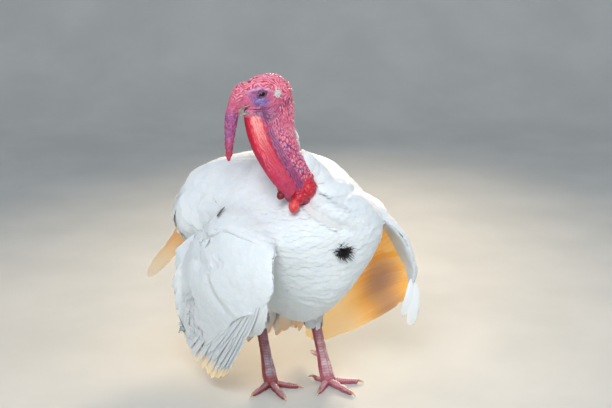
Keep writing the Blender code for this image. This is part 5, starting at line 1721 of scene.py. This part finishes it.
    def arm_coat(self):
        """Small coverts over the arm, and the shorter feathers of its lining, as two groups."""
        guide = self.sheet
        for path, depth, over in FOLDS.get(self.word, ()):
            guide = crease(guide, path, depth, over)
        spots = guide.candidates(26000, self.seed + 10)
        normal = guide.nearest(spots)[1]
        outside = dot(normal, self.pose.outward)[:, 0] > -0.30
        t, s = self.where(spots).T
        length = np.interp(s, (0, 0.08, 0.25, 0.45, 0.85), (0.018, 0.024, 0.036, 0.050, 0.066))
        end = np.interp(t, (0, 0.5, 0.64, 0.80, 1), (0.94, 0.94, 0.90, 0.62, 0.30))
        keep = (s < np.where(outside, end, 0.10 - 0.06 * ramp(t, 0.5, 0.9))) & (t > 0.05)
        groups = []
        for k, chosen in enumerate((outside & keep, ~outside & keep)):
            size = length * (1, 0.8)[k]
            picked = scattered(spots[chosen], 0.28 * size[chosen], self.seed + 11 + k)
            places, size, arm, reach = (values[chosen][picked] for values in (spots, size, t, s))
            # feathers of the front edge part there, and turn round it to their own side
            turned = self.pose.outward * (0.7, -0.7)[k]

            def lie(spot):
                return unit(self.lie(spot) + turned * self.near_front(spot))

            made = lay_feathers(guide, places - self.lie(places) * size[:, None] * 0.4, lie, size,
                                0.40 * size, self.seed + 13 + k, root_depth=0.003, lift=0.0008,
                                free=np.interp(reach, (0.5, 0.65), (0.6, 0.12))[:, None])
            made.root_uv = np.column_stack([0.02 + 0.94 * arm, 0.02 + 0.46 * (reach + k)])
            groups.append(made)
        return groups

    def near_front(self, places):
        """1 at the front edge of the wing, 0 from 15 mm behind it."""
        flat = places.reshape(-1, 3)
        gap = np.array([self.edge.find(p)[2] for p in flat.tolist()])
        return ramp(-gap, -0.015, -0.004).reshape(*places.shape[:-1], 1)


# %% [markdown]
# Each wing ends up as three pieces: the long feathers, which take the solid's place, the small
# coverts outside, and the lining inside.

# %% Dress the wings
wing_look = feather_material("wing_feathers", FEATHER_COOL, FEATHER_WARM)
lining_look = feather_material("wing_lining", srgb(206, 212, 216), srgb(228, 228, 226), glow=0.0)
for word, pose, seed in (("right", RIGHT_WING, 60), ("left", LEFT_WING, 90)):
    wing = Wing(word, pose, seed)
    long_ones = wing.flights() + wing.covert_rows() + [wing.alula()]
    flights = gathered(f"flight_feathers_{word}", long_ones, wing_look)
    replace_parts(flights, f"wing_{word}")
    coverts, lining = wing.arm_coat()
    coverts.build(f"wing_coverts_{word}", white_plumage)
    lining.build(f"wing_lining_{word}", lining_look)

# %% [markdown]
# The tail is half spread and held low. Its stiff feathers grow from a fleshy stump in one arched
# row, the outer ones shorter and more steeply hung, with shorter coverts above and below. They
# are made in the same way as the feathers of the wing, and their hidden side takes the warm
# light that comes from behind the bird.

# %% Tail feathers and their coverts
# count, length, width, height over the stump, half spread in degrees and bow of each row
TAIL_ROWS = ((18, 0.315, 0.064, 0.0, 34, 0.010), (14, 0.235, 0.060, 0.014, 32, 0.008),
             (12, 0.185, 0.060, 0.026, 29, 0.007), (10, 0.150, 0.060, 0.036, 26, 0.006),
             (12, 0.185, 0.056, -0.020, 27, -0.004))


def tail_row(row, count, length, width, lift, spread, bow, seed):
    random = np.random.default_rng(seed)
    t = (np.arange(count) + 0.5) / count * 2 - 1
    swing = radians(spread) * t
    droop = np.radians(mix(34, 52, np.abs(t) ** 1.5))
    ahead = np.column_stack([np.sin(swing), np.cos(swing) * np.cos(droop), -np.sin(droop)])
    up = unit(np.column_stack([np.sin(swing) * 0.35, np.full(count, 0.85), np.full(count, 0.80)]))
    start = TAIL_BASE + np.column_stack([0.048 * t, 0 * t, -0.012 * t * t]) + up * lift
    reach = length * (1 - 0.16 * t * t) * random.uniform(0.98, 1.01, count)
    ends = start + unit(ahead) * reach[:, None]
    halves = []
    paler = np.linspace(1, 0.40, 30)
    for side in (-1, 1):
        chosen = (t > 0) == (side > 0)
        made = long_feathers(start[chosen], ends[chosen], up[chosen], np.full(chosen.sum(), width),
                             0.5, side, bow, seed + side, tilt=radians(2),
                             shaft=0.0011 if row == 0 else 0.0006)
        # the low light comes through the right edge of the fan from above, and all of it below
        right = -t[chosen][:, None]
        outer = ramp(right, 0.45, 0.70) * (1 - 0.75 * ramp(right, 0.86, 0.90))
        halves.append(group_of(made, arm_uv(0.5 + 0.49 * t[chosen], row),
                               above=0.45 * outer * paler,
                               below=0.9 * mix(1, paler, ramp(right, 0.3, 0.6))))
    return halves


rows = []
for row, shape in enumerate(TAIL_ROWS):
    rows += tail_row(row, *shape, 120 + 5 * row)
tail_look = feather_material("tail_feathers", FEATHER_COOL, FEATHER_WARM)
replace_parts(gathered("tail_fan", rows, tail_look), "tail")

# %% [markdown]
# Below the hock the leg is bare and scaled. Two columns of large overlapping plates run down its
# front and break up into a single row on each toe; everything between is covered by small
# pebble-like scales. Each shank and its foot are melted into one skin, and the plates and
# pebbles are pressed into it from formulas: rows counted along the bone, half a row apart on
# the two sides, and a honeycomb for the pebbles. Carving them into the surface, and not only
# into its shading, keeps them in any render.

# %% Scaled legs and feet
LEG_VOXEL = 0.0011
TOES = (("inner", -48, 0.066, 0.0082), ("middle", 8, 0.088, 0.0092), ("outer", 62, 0.072, 0.0084))
HIND_TOE = (0.040, 0.0070)
SHANK_RADIUS = 0.0124
PLATE_PITCH, TOE_PITCH, PEBBLE_PITCH = 0.0064, 0.0046, 0.0034
RIGHT_HOCK, RIGHT_FOOT = vec(-0.0515, 0.078, 0.166), vec(-0.040, 0.047, 0)
LEFT_HOCK, LEFT_FOOT = vec(0.0605, 0.0245, 0.166), vec(0.080, -0.0065, 0)
SPUR_AT = 0.655         # share of the way from the hock to the heel
CREASE_RED = srgb(84, 24, 38)
SOLE_BROWN = srgb(96, 74, 66)


def toe_paths(foot, side):
    """Name, start, heading, length and radius of each toe."""
    made = [(word, foot, vec(side * sin(radians(turn)), -cos(radians(turn)), 0), length, radius)
            for word, turn, length, radius in TOES]
    return made + [("hind", foot, unit(vec(-side * 0.30, 1.0, 0)), *HIND_TOE)]


def toe_shape(start, heading, length, radius):
    t = np.linspace(0, 1, 26)
    knuckle = 1 + 0.09 * np.cos(2 * pi * t * 3.0 - 0.6)
    end = np.minimum(1, np.sqrt(np.maximum(1 - t, 0) / 0.06 + 0.05))
    r = (radius * (1 - 0.34 * t) * knuckle * end)[:, None]
    height = 0.70 * radius * (1 - 0.34 * t) + 0.003 * (1 - t) ** 2
    a = np.linspace(0, 2 * pi, 22, endpoint=False)
    side = np.cross(UP, heading)
    rings = (start + heading * (length * t)[:, None, None] + UP * height[:, None, None]
             + side * (r * np.cos(a))[..., None] + UP * (1.04 * r * np.sin(a))[..., None])
    rings[..., 2] = np.maximum(rings[..., 2], 0)
    return loft(rings)


def honeycomb(u, v, pitch):
    """Distance, in pitches, from the nearest middle of a honeycomb of cells."""
    x, y = u / pitch, v / (pitch * 0.866)
    best = np.full(len(u), 9.0)
    for shift in (0, 1):
        row = np.round((y - shift) / 2) * 2 + shift
        column = np.round(x - 0.5 * shift) + 0.5 * shift
        best = np.minimum(best, np.hypot(x - column, (y - row) * 0.866))
    return best


def leg_forms(hock, heel, foot, toes):
    """The shank, thicker at both ends, the ball of the foot and the toes."""
    stops = np.linspace(-0.06, 1.02, 30)
    swell = 1 + 0.24 * ramp(1 - stops / 0.22, 0, 1) + 0.40 * ramp((stops - 0.55) / 0.45, 0, 1)
    r = SHANK_RADIUS * swell[:, None]
    a = np.linspace(0, 2 * pi, 26, endpoint=False)
    rings = (hock + (heel - hock) * stops[:, None, None]
             + vec(1, 0, 0) * (0.92 * r * np.cos(a))[..., None]
             - vec(0, 1, 0) * (1.08 * r * np.sin(a))[..., None])
    ball = ellipsoid(foot + vec(0, -0.002, 0.0150), (0.0165, 0.0165, 0.0150),
                     (vec(1, 0, 0), vec(0, 1, 0), UP))
    return [loft(rings), ball] + [toe_shape(*toe[1:]) for toe in toes]


# %% [markdown]
# The scales are raised on the melted leg. The class works out, for each point, how far round and
# down the leg it lies, and from that the plate, pebble or crease that it is part of.

# %% Raise the scales
def pebble_dome(cells, height):
    return height * np.sqrt(np.clip(1 - (cells / 0.56) ** 2, 0, 1))


def plate_rise(edge_gap, height, crease):
    """A flat plate of some height with a rounded crease at its edge."""
    return height * (1 - np.exp(-edge_gap / crease))


class Scales:
    """Where plates, pebbles and creases lie on one leg, and how high they stand."""

    def __init__(self, points, normal, hock, heel, toes):
        axis = heel - hock
        down = ((points - hock) @ axis) / (axis @ axis)
        rel = points - hock - axis * down[:, None]
        reach = down * np.linalg.norm(axis)
        self.turn = np.arctan2(rel[:, 0], -rel[:, 1])
        self.on_shank = ramp(points[:, 2], 0.020, 0.034)
        row = reach / PLATE_PITCH + 0.25 * np.sign(self.turn) + np.abs(self.turn) * 0.22
        seam = np.abs(self.turn) * 0.0108
        self.edge = np.minimum(np.abs(row - np.round(row)) * PLATE_PITCH, seam)
        self.plated = ramp(-np.abs(self.turn), -1.05, -0.85) * self.on_shank
        self.pebbles = honeycomb(self.turn * 0.0115, reach, PEBBLE_PITCH)
        toe_rise = self.plate_toes(points, normal, toes)
        small = honeycomb(points[:, 0] + 0.3 * points[:, 2], points[:, 1] + 0.5 * points[:, 2],
                          PEBBLE_PITCH * 0.8)
        height = mix(pebble_dome(small, 0.00040), pebble_dome(self.pebbles, 0.00055), self.on_shank)
        plates = plate_rise(self.edge, 0.00085, 0.0006) + (row - np.floor(row)) * 0.00050
        height = mix(height, plates, self.plated)
        self.height = mix(height, toe_rise, self.on_toe * (1 - self.plated))

    def plate_toes(self, points, normal, toes):
        """The single row of plates on top of each toe."""
        self.on_toe, rise, self.groove = (np.zeros(len(points)) for _ in range(3))
        up = ramp(normal[:, 2], 0.28, 0.55)
        for _, start, heading, _, radius in toes:
            t = (points - start) @ heading
            across = np.abs((points - start) @ np.cross(UP, heading))
            here = (ramp(t, 0.010, 0.018) * ramp(-across, -radius * 1.5, -radius * 1.2)
                    * ramp(-points[:, 2], -0.030, -0.022) * up)
            edge = np.abs(t / TOE_PITCH - np.round(t / TOE_PITCH)) * TOE_PITCH
            self.on_toe = np.maximum(self.on_toe, here)
            rise = np.where(here > 0.3, plate_rise(edge, 0.00070, 0.00050), rise)
            self.groove = np.where(here > 0.3, np.exp(-edge / 0.0005), self.groove)
        return rise


# %% [markdown]
# The legs are painted from the same scales, and claws and spurs of horn are added. The right
# leg stands in the bird's shadow, and its colours are painted darker as shade. A warm stripe
# on each leg is a painted highlight on the side of the low lamp.

# %% Paint and place the legs
def paint_leg(points, normal, scales, shades):
    """Dark flesh, paler plates, red creases, and a painted highlight: a warm stripe on the side of
    the low light.
    """
    # the last of the shades is the colour of the painted highlight
    deep, flesh, scale, warm = shades
    valley = np.where(scales.plated > 0.5, np.exp(-scales.edge / 0.0006),
                      np.clip((scales.pebbles - 0.34) / 0.2, 0, 1) * 0.8)
    valley = np.maximum(mix(valley, scales.groove, scales.on_toe), 0)
    mottled = ramp(turbulence(points, 0.012, 3), -0.35, 0.35)
    paint = blend(flesh, deep, ramp(points[:, 2], 0.06, 0.15) * 0.75)
    paint = blend(paint, deep, (1 - mottled) * 0.45)
    low = mix(0.35, 0.85, ramp(-points[:, 2], -0.14, -0.05))
    paint = blend(paint, scale, scales.plated * low * mix(0.6, 1.0, mottled))
    paint = blend(paint, scale, scales.on_toe * 0.45)
    # painted highlight: a warm stripe on the side of the leg that faces the low lamp
    stripe = ramp(scales.turn, 0.9, 1.5) * (1 - ramp(scales.turn, 2.2, 2.8))
    paint = blend(paint, warm, stripe * scales.on_shank * 0.55)
    paint = blend(paint, CREASE_RED, valley * 0.60)
    return blend(paint, SOLE_BROWN, ramp(-normal[:, 2], 0.5, 0.9) * (points[:, 2] < 0.004) * 0.5)


def add_taper(name, path, radii, look, stations):
    """A claw or a spur, thinner towards its tip."""
    taper = tube(path, radii, UP, 20, stations=stations)
    add_horn(name, taper, ring_share(taper, stations), look, name)


def make_leg(word, side, hock, foot, shades):
    heel = foot + vec(0, 0.002, 0.020)
    toes = toe_paths(foot, side)
    points, quads = melt(leg_forms(hock, heel, foot, toes), LEG_VOXEL, 5)
    normal = point_normals(points, quads)
    scales = Scales(points, normal, hock, heel, toes)
    wrinkled = turbulence(points, 0.004, 2) * 0.0003
    points = points + normal * (scales.height + wrinkled - 0.0004)[:, None]
    points[:, 2] = np.maximum(points[:, 2], 0.0001)
    leg = add_flesh(f"scaled_leg_{word}", points, quads, paint_leg(points, normal, scales, shades),
                    leg_skin, "bare_skin")
    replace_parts(leg, f"shank_{word}", f"foot_{word}")
    for toe, start, heading, length, _ in toes:
        tip = start + heading * (length + (0.002 if toe == "hind" else -0.004))
        path = np.array([tip + heading * ahead + UP * up for ahead, up in CLAW_PATH])
        add_taper(f"claw_{toe}_{word}", path, lambda t: (
            mix(0.0042, 0.0008, t ** 1.4), mix(0.0042, 0.0009, t ** 1.3)), claw_look, 24)
    out = unit(vec(-side * 0.75, 0.70, 0.05))
    path = np.array([mix(hock, heel, SPUR_AT) + out * reach + UP * up for reach, up in SPUR_PATH])
    add_taper(f"spur_{word}", path, lambda t: (mix(0.0068, 0.0030, t ** 1.5),) * 2, spur_look, 20)


# how far out and how high a claw's and a spur's curve runs
CLAW_PATH = ((-0.012, 0.0060), (-0.004, 0.0068), (0.003, 0.0070), (0.010, 0.0052), (0.0165, 0.0018))
SPUR_PATH = ((0.006, 0), (0.014, 0), (0.021, 0.001), (0.027, 0.003))
leg_skin = flesh_material("leg_skin", 0.50, patch=0.012, pore=0.0016, subsurface=0.05)
claw_look = horn_material("claw_horn", srgb(150, 92, 84), srgb(222, 190, 160), srgb(110, 66, 60))
spur_look = horn_material("spur_horn", srgb(214, 150, 148), srgb(240, 208, 192),
                          srgb(190, 130, 128))
# the right leg's colours are painted darker, as shade of the bird's shadow; the last colour of each
# leg is its painted highlight
make_leg("right", -1, RIGHT_HOCK, RIGHT_FOOT,
         (srgb(138, 20, 38), srgb(172, 80, 78), srgb(190, 180, 192), srgb(190, 104, 70)))
make_leg("left", 1, LEFT_HOCK, LEFT_FOOT,
         (srgb(150, 46, 82), srgb(196, 112, 126), srgb(226, 202, 202), srgb(250, 190, 140)))

# %% [markdown]
# Bristles, hairs and tufts are what a smooth model most often leaves out. The beard is a tuft of
# coarse black bristles that springs from a knob in the breast; the ear opening has a small tuft
# of stiff white feathers; thin white bristles stand on the nape. Each is a tapering closed tube
# with three or four sides, bent by gravity, and no hair system is used.

# %% Bristles and tufts
def bristles(name, roots, headings, lengths, radii, look, slot, seed, droop=0.3, curl=0.12,
             sides=4, stations=7):
    """Tapered, slightly bent bristles as one piece."""
    random = np.random.default_rng(seed)
    count = len(roots)
    u = np.linspace(0, 1, stations)
    bend = unit(random.normal(0, 1, (count, 3)))
    path = (roots[:, None] + headings[:, None] * (lengths[:, None] * u)[..., None]
            + bend[:, None] * (curl * lengths[:, None] * u ** 2)[..., None]
            - UP * (droop * lengths[:, None] * u ** 2)[..., None])
    ahead = unit(np.gradient(path, axis=1))
    side = unit(np.cross(ahead, bend[:, None]))
    across = np.cross(ahead, side)
    a = np.linspace(0, 2 * pi, sides, endpoint=False)
    r = radii[:, None] * (1 - 0.88 * u ** 1.6)
    ring = side[:, :, None] * np.cos(a)[:, None] + across[:, :, None] * np.sin(a)[:, None]
    points = (path[:, :, None] + ring * r[..., None, None]).reshape(-1, 3)
    _, one = loft(np.zeros((stations, sides, 3)))
    start = (np.arange(count) * sides * stations)[:, None, None]
    faces = [(f[None] + start).reshape(-1, f.shape[1]) for f in (one[0], one[1][:1], one[1][1:])]
    return add_piece(name, points, faces, look, slot)


def cone_of(random, axis, spread, count):
    """Directions round an axis, up to spread away from it."""
    off = random.normal(0, 1, (count, 3))
    off = unit(off - axis * dot(off, axis))
    return unit(axis + off * spread * np.sqrt(random.random((count, 1))))


beard_look = new_material("beard_bristle", 0.38, Coat_Weight=0.1,
                          Base_Color=(*srgb(18, 14, 18), 1))[0]
white_tuft = new_material("white_tuft", 0.6, Subsurface_Weight=0.1, Subsurface_Scale=0.003,
                          Base_Color=(*srgb(236, 234, 230), 1))[0]
BEARD_ROOT = vec(-0.008, BREAST_Y + 0.001, 0.384)
BEARD_BRISTLES, EAR_BRISTLES, NAPE_BRISTLES = 330, 700, 130
head_normals = point_normals(head_points, head_quads)


def grow_beard(random):
    outward = unit(vec(-0.10, -1.0, 0.05))
    headings = cone_of(random, outward, 2.3, BEARD_BRISTLES)
    headings = unit(headings * (1.25, 1.0, 0.85) - UP * 0.08)
    spread = random.normal(0, 0.0045, (BEARD_BRISTLES, 3)) * (1.4, 1, 0.9)
    beard = bristles("beard_tuft", BEARD_ROOT - outward * 0.004 + spread, headings,
                     0.007 + 0.019 * random.random(BEARD_BRISTLES) ** 1.5,
                     random.uniform(0.0006, 0.0012, BEARD_BRISTLES), beard_look, "beard_bristle",
                     171, droop=0.12)
    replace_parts(beard, "beard")


def grow_ear_tuft(random, word, side):
    count = EAR_BRISTLES
    out = unit(HEAD_LEFT * side + HEAD_UP * 0.15)
    back = unit(HEAD_LEFT * side * 0.75 - HEAD_AHEAD - HEAD_UP * 0.35)
    headings = cone_of(random, unit(out + 0.3 * back), 1.5, count)
    starts = on_head(-0.0303, side * 0.0213, -0.0092) + random.normal(0, 0.0027, (count, 3))
    bristles(f"ear_tuft_{word}", starts - out * 0.0005, headings,
             random.uniform(0.0032, 0.0064, count), random.uniform(0.0006, 0.0011, count),
             white_tuft, "white_feathers", 180 + side, droop=0.1)


def grow_nape_bristles(random):
    """Thin white bristles that stand on the back of the neck."""
    count = NAPE_BRISTLES
    nape = np.flatnonzero((np.abs(skin.angle) > 1.9) & (skin.t > 0.35) & (skin.snood < 0.1))
    picked = nape[random.permutation(len(nape))[:count]]
    out = head_normals[picked]
    bristles("nape_bristles", head_points[picked] - out * 0.001, unit(out - UP * 0.6),
             random.uniform(0.004, 0.010, count), random.uniform(0.0003, 0.0006, count),
             white_tuft, "white_feathers", 190, droop=0.3, sides=3, stations=5)


random = np.random.default_rng(170)
grow_beard(random)
grow_ear_tuft(random, "right", -1)
grow_ear_tuft(random, "left", 1)
grow_nape_bristles(random)

# %% [markdown]
# A few loose feathers are left: one dark moulting feather and a hair on the right shoulder, down
# that hangs below the vent, the collar that climbs the back of the neck, and the cuffs over the
# tops of the bare legs. They stand free of any surface, so they are built like the long feathers
# of the wing, only shorter, softer and more worn.

# %% Loose feathers, down, collar and cuffs
def soft_feathers(name, start, heading, length, out, slender, bow, seed):
    """Short worn feathers that stand off the skin."""
    made = long_feathers(start, start + heading * length[:, None], out, slender * length, 0.5, 1,
                         bow, seed, tilt=radians(4), shaft=0.0003, splits=0.2,
                         shape=COVERT_SHAPE, stations=12)
    gathered(name, [group_of(made, unwrap(start))], white_plumage)


def grow_dark_feather():
    place, normal = body_guide.nearest(np.array([(-0.1690, 0.0010, 0.4484),
                                                 (-0.1925, -0.0155, 0.4330)]))
    place = place + normal * (0.008, 0.0065, 0.0065)
    dark = long_feathers(place[:1], place[1:], normal[:1], np.array([0.0075]), 0.5, 1, 0.0012, 195,
                         tilt=radians(4), shaft=0.0004, splits=0.25)
    look = feather_material("dark_feather", srgb(40, 40, 46), srgb(64, 62, 64), glow=0.0)
    gathered("dark_feather", [group_of(dark, unwrap(place[:1]))], look)
    hair, out = body_guide.nearest(np.array([(-0.1600, 0.0560, 0.4470)]))
    bristles("shoulder_hair", hair + out * 0.006, unit(out + UP * 0.8), np.array([0.016]),
             np.array([0.0004]), beard_look, "beard_bristle", 196, droop=0.0)


def grow_vent_down(count=60):
    """Soft feathers below the vent; the low light comes through their ends."""
    random = np.random.default_rng(197)
    roots = np.column_stack([random.uniform(*span, count) for span in
                             ((-0.045, 0.100), (0.090, 0.150), (0.185, 0.200))])
    ends = roots + np.column_stack([random.normal(-0.006, 0.008, count),
                                    random.uniform(0.0, 0.03, count),
                                    random.uniform(-0.106, -0.066, count)])
    facing = unit(vec(-0.3, -1.0, 0.1) + random.normal(0, 0.25, (count, 3)))
    down = long_feathers(roots, ends, facing, random.uniform(0.018, 0.030, count), 0.5, 1, 0.004,
                         198, tilt=radians(3), shaft=0.0003, splits=0.30, shape=COVERT_SHAPE)
    lit = 0.9 * ramp(np.linspace(0, 1, 30), 0.35, 0.95)[None] * random.random((count, 1))
    gathered("vent_down", [group_of(down, unwrap(roots), above=lit, below=lit)], white_plumage)


def grow_collar():
    """White feathers that climb the nape, their ends standing off the beads."""
    random = np.random.default_rng(199)
    turned, z = np.abs(skin.angle), head_points[:, 2]
    top = mix(0.520, 0.632, ramp(turned, 1.8, 2.9))
    nape = np.flatnonzero((turned > 1.6) & (z > 0.500) & (z < top) & (skin.bulb < 0.1))
    nape = nape[scattered(head_points[nape], np.full(len(nape), 0.0052), 200)]
    out, count = head_normals[nape], len(nape)
    heading = unit(-UP + out * random.uniform(0.12, 0.34, (count, 1)) + vec(0.18, 0.20, 0)
                   + random.normal(0, 0.10, (count, 3)))
    soft_feathers("neck_collar", head_points[nape] - out * 0.001, heading,
                  random.uniform(0.018, 0.030, count), out, 0.40, 0.0015, 201)


def grow_cuff(word, hock, seed, count=110):
    random = np.random.default_rng(seed)
    turn, high = random.uniform(0, 2 * pi, count), random.uniform(0.160, 0.205, count)
    out = np.column_stack([np.cos(turn), np.sin(turn), np.zeros(count)])
    radius = mix(0.019, 0.026, (high[:, None] - 0.160) / 0.045)
    start = hock * (1, 1, 0) + out * radius + UP * high[:, None]
    length = random.uniform(0.026, 0.036, count)
    heading = unit(-UP - out * 0.12 + random.normal(0, 0.06, (count, 3)))
    soft_feathers(f"leg_cuff_{word}", start, heading, length, out, 0.42, 0.002, seed + 1)


grow_dark_feather()
grow_vent_down()
grow_collar()
grow_cuff("right", RIGHT_HOCK, 203)
grow_cuff("left", LEFT_HOCK, 205)

# %% [markdown]
# The bird is shown as a museum model would be photographed: on a plain pale floor, in soft light
# from a large window in front, with a warm low lamp behind it that picks out the thin edges of
# the feathers. The camera looks from a little above the bird's back and from its right.

# %% Floor, lights and camera
CAMERA_TURN = radians(30)       # round the bird, from straight ahead towards its right
CAMERA_DISTANCE = 2.87          # from the middle of the stance, along the floor
CAMERA_HEIGHT = 1.19
CAMERA_DIP = radians(14.7)
FOCAL_PIXELS = 1350.0           # focal length, in pixels of a frame this wide
FRAME_WIDTH = 612.0
STANCE_PIXEL = 295.0            # column of the frame where the middle of the stance is seen
SENSOR = 36.0


def make_camera():
    data = bpy.data.cameras.new("camera")
    camera = add_object("camera", data)
    yaw = np.arctan((FRAME_WIDTH / 2 - STANCE_PIXEL) / FOCAL_PIXELS)
    ahead = vec(sin(CAMERA_TURN + yaw), cos(CAMERA_TURN + yaw), 0)
    ahead = ahead * cos(CAMERA_DIP) - UP * sin(CAMERA_DIP)
    right = unit(np.cross(ahead, UP))
    place = TO_BOX_CENTRE + UP * CAMERA_HEIGHT
    place = place - vec(sin(CAMERA_TURN), cos(CAMERA_TURN), 0) * CAMERA_DISTANCE
    axes = Matrix(np.column_stack([right, np.cross(right, ahead), -ahead]).tolist()).to_4x4()
    camera.matrix_world = Matrix.Translation(place.tolist()) @ axes
    data.sensor_width = SENSOR
    data.lens = FOCAL_PIXELS / FRAME_WIDTH * SENSOR
    data.clip_start, data.clip_end = 0.05, 60.0
    bpy.context.scene.camera = camera


def area_light(name, place, target, size, power, colour, beam=180):
    data = bpy.data.lights.new(name, "AREA")
    data.shape, data.size, data.energy, data.color = "DISK", size, power, colour
    data.spread = radians(beam)
    lamp = add_object(name, data)
    lamp.location = place
    lamp.rotation_euler = (Vector(target) - Vector(place)).to_track_quat("-Z", "Y").to_euler()


def make_studio():
    floor_look, n, shader = new_material("floor_paper", 0.85)
    grain = n.add("ShaderNodeTexNoise", Vector=n.add("ShaderNodeTexCoord").outputs["Object"],
                  Scale=3.0, Detail=4.0).outputs["Fac"]
    greys = tuple(srgb(196, 198, 193)), tuple(srgb(205, 206, 201))
    wire(n, shader, Base_Color=n.colours(n.span(grain, 0.3, 0.7), *greys))
    # paper that lies flat under the bird and sweeps up behind it
    profile = [(-6.0, 0.0), (2.6, 0.0)] + [(2.6 + 1.6 * sin(a), 1.6 - 1.6 * cos(a))
                                           for a in np.linspace(0.1, pi / 2, 14)] + [(4.2, 6.0)]
    ahead = vec(sin(CAMERA_TURN), cos(CAMERA_TURN), 0)
    side = vec(cos(CAMERA_TURN), -sin(CAMERA_TURN), 0)
    corners = [ahead * y + side * x + UP * (z - 0.0004) for y, z in profile for x in (-7.0, 7.0)]
    strips = np.arange(len(profile) - 1)[:, None] * 2 + np.array([0, 1, 3, 2])
    mesh = build_mesh("studio_floor", np.array(corners), [strips])
    mesh.materials.append(floor_look)
    add_object("studio_floor", mesh)
    world = bpy.data.worlds.new("studio_air")
    world.use_nodes = True
    sky = world.node_tree.nodes["Background"].inputs
    sky["Color"].default_value = (0.78, 0.86, 1.0, 1)
    sky["Strength"].default_value = 0.42
    bpy.context.scene.world = world
    area_light("window", (-1.9, -2.6, 2.6), (0, -0.05, 0.35), 1.7, 105, (0.97, 0.98, 1.0))
    area_light("side_window", (2.6, -1.6, 1.6), (0, 0, 0.3), 1.8, 16, (0.95, 0.97, 1.0))
    area_light("warm_lamp", (2.2, 2.6, 1.5), (0, 0.1, 0.3), 1.2, 17, (1.0, 0.80, 0.58), beam=50)
    bpy.context.scene.view_settings.view_transform = "Standard"


make_camera()
make_studio()
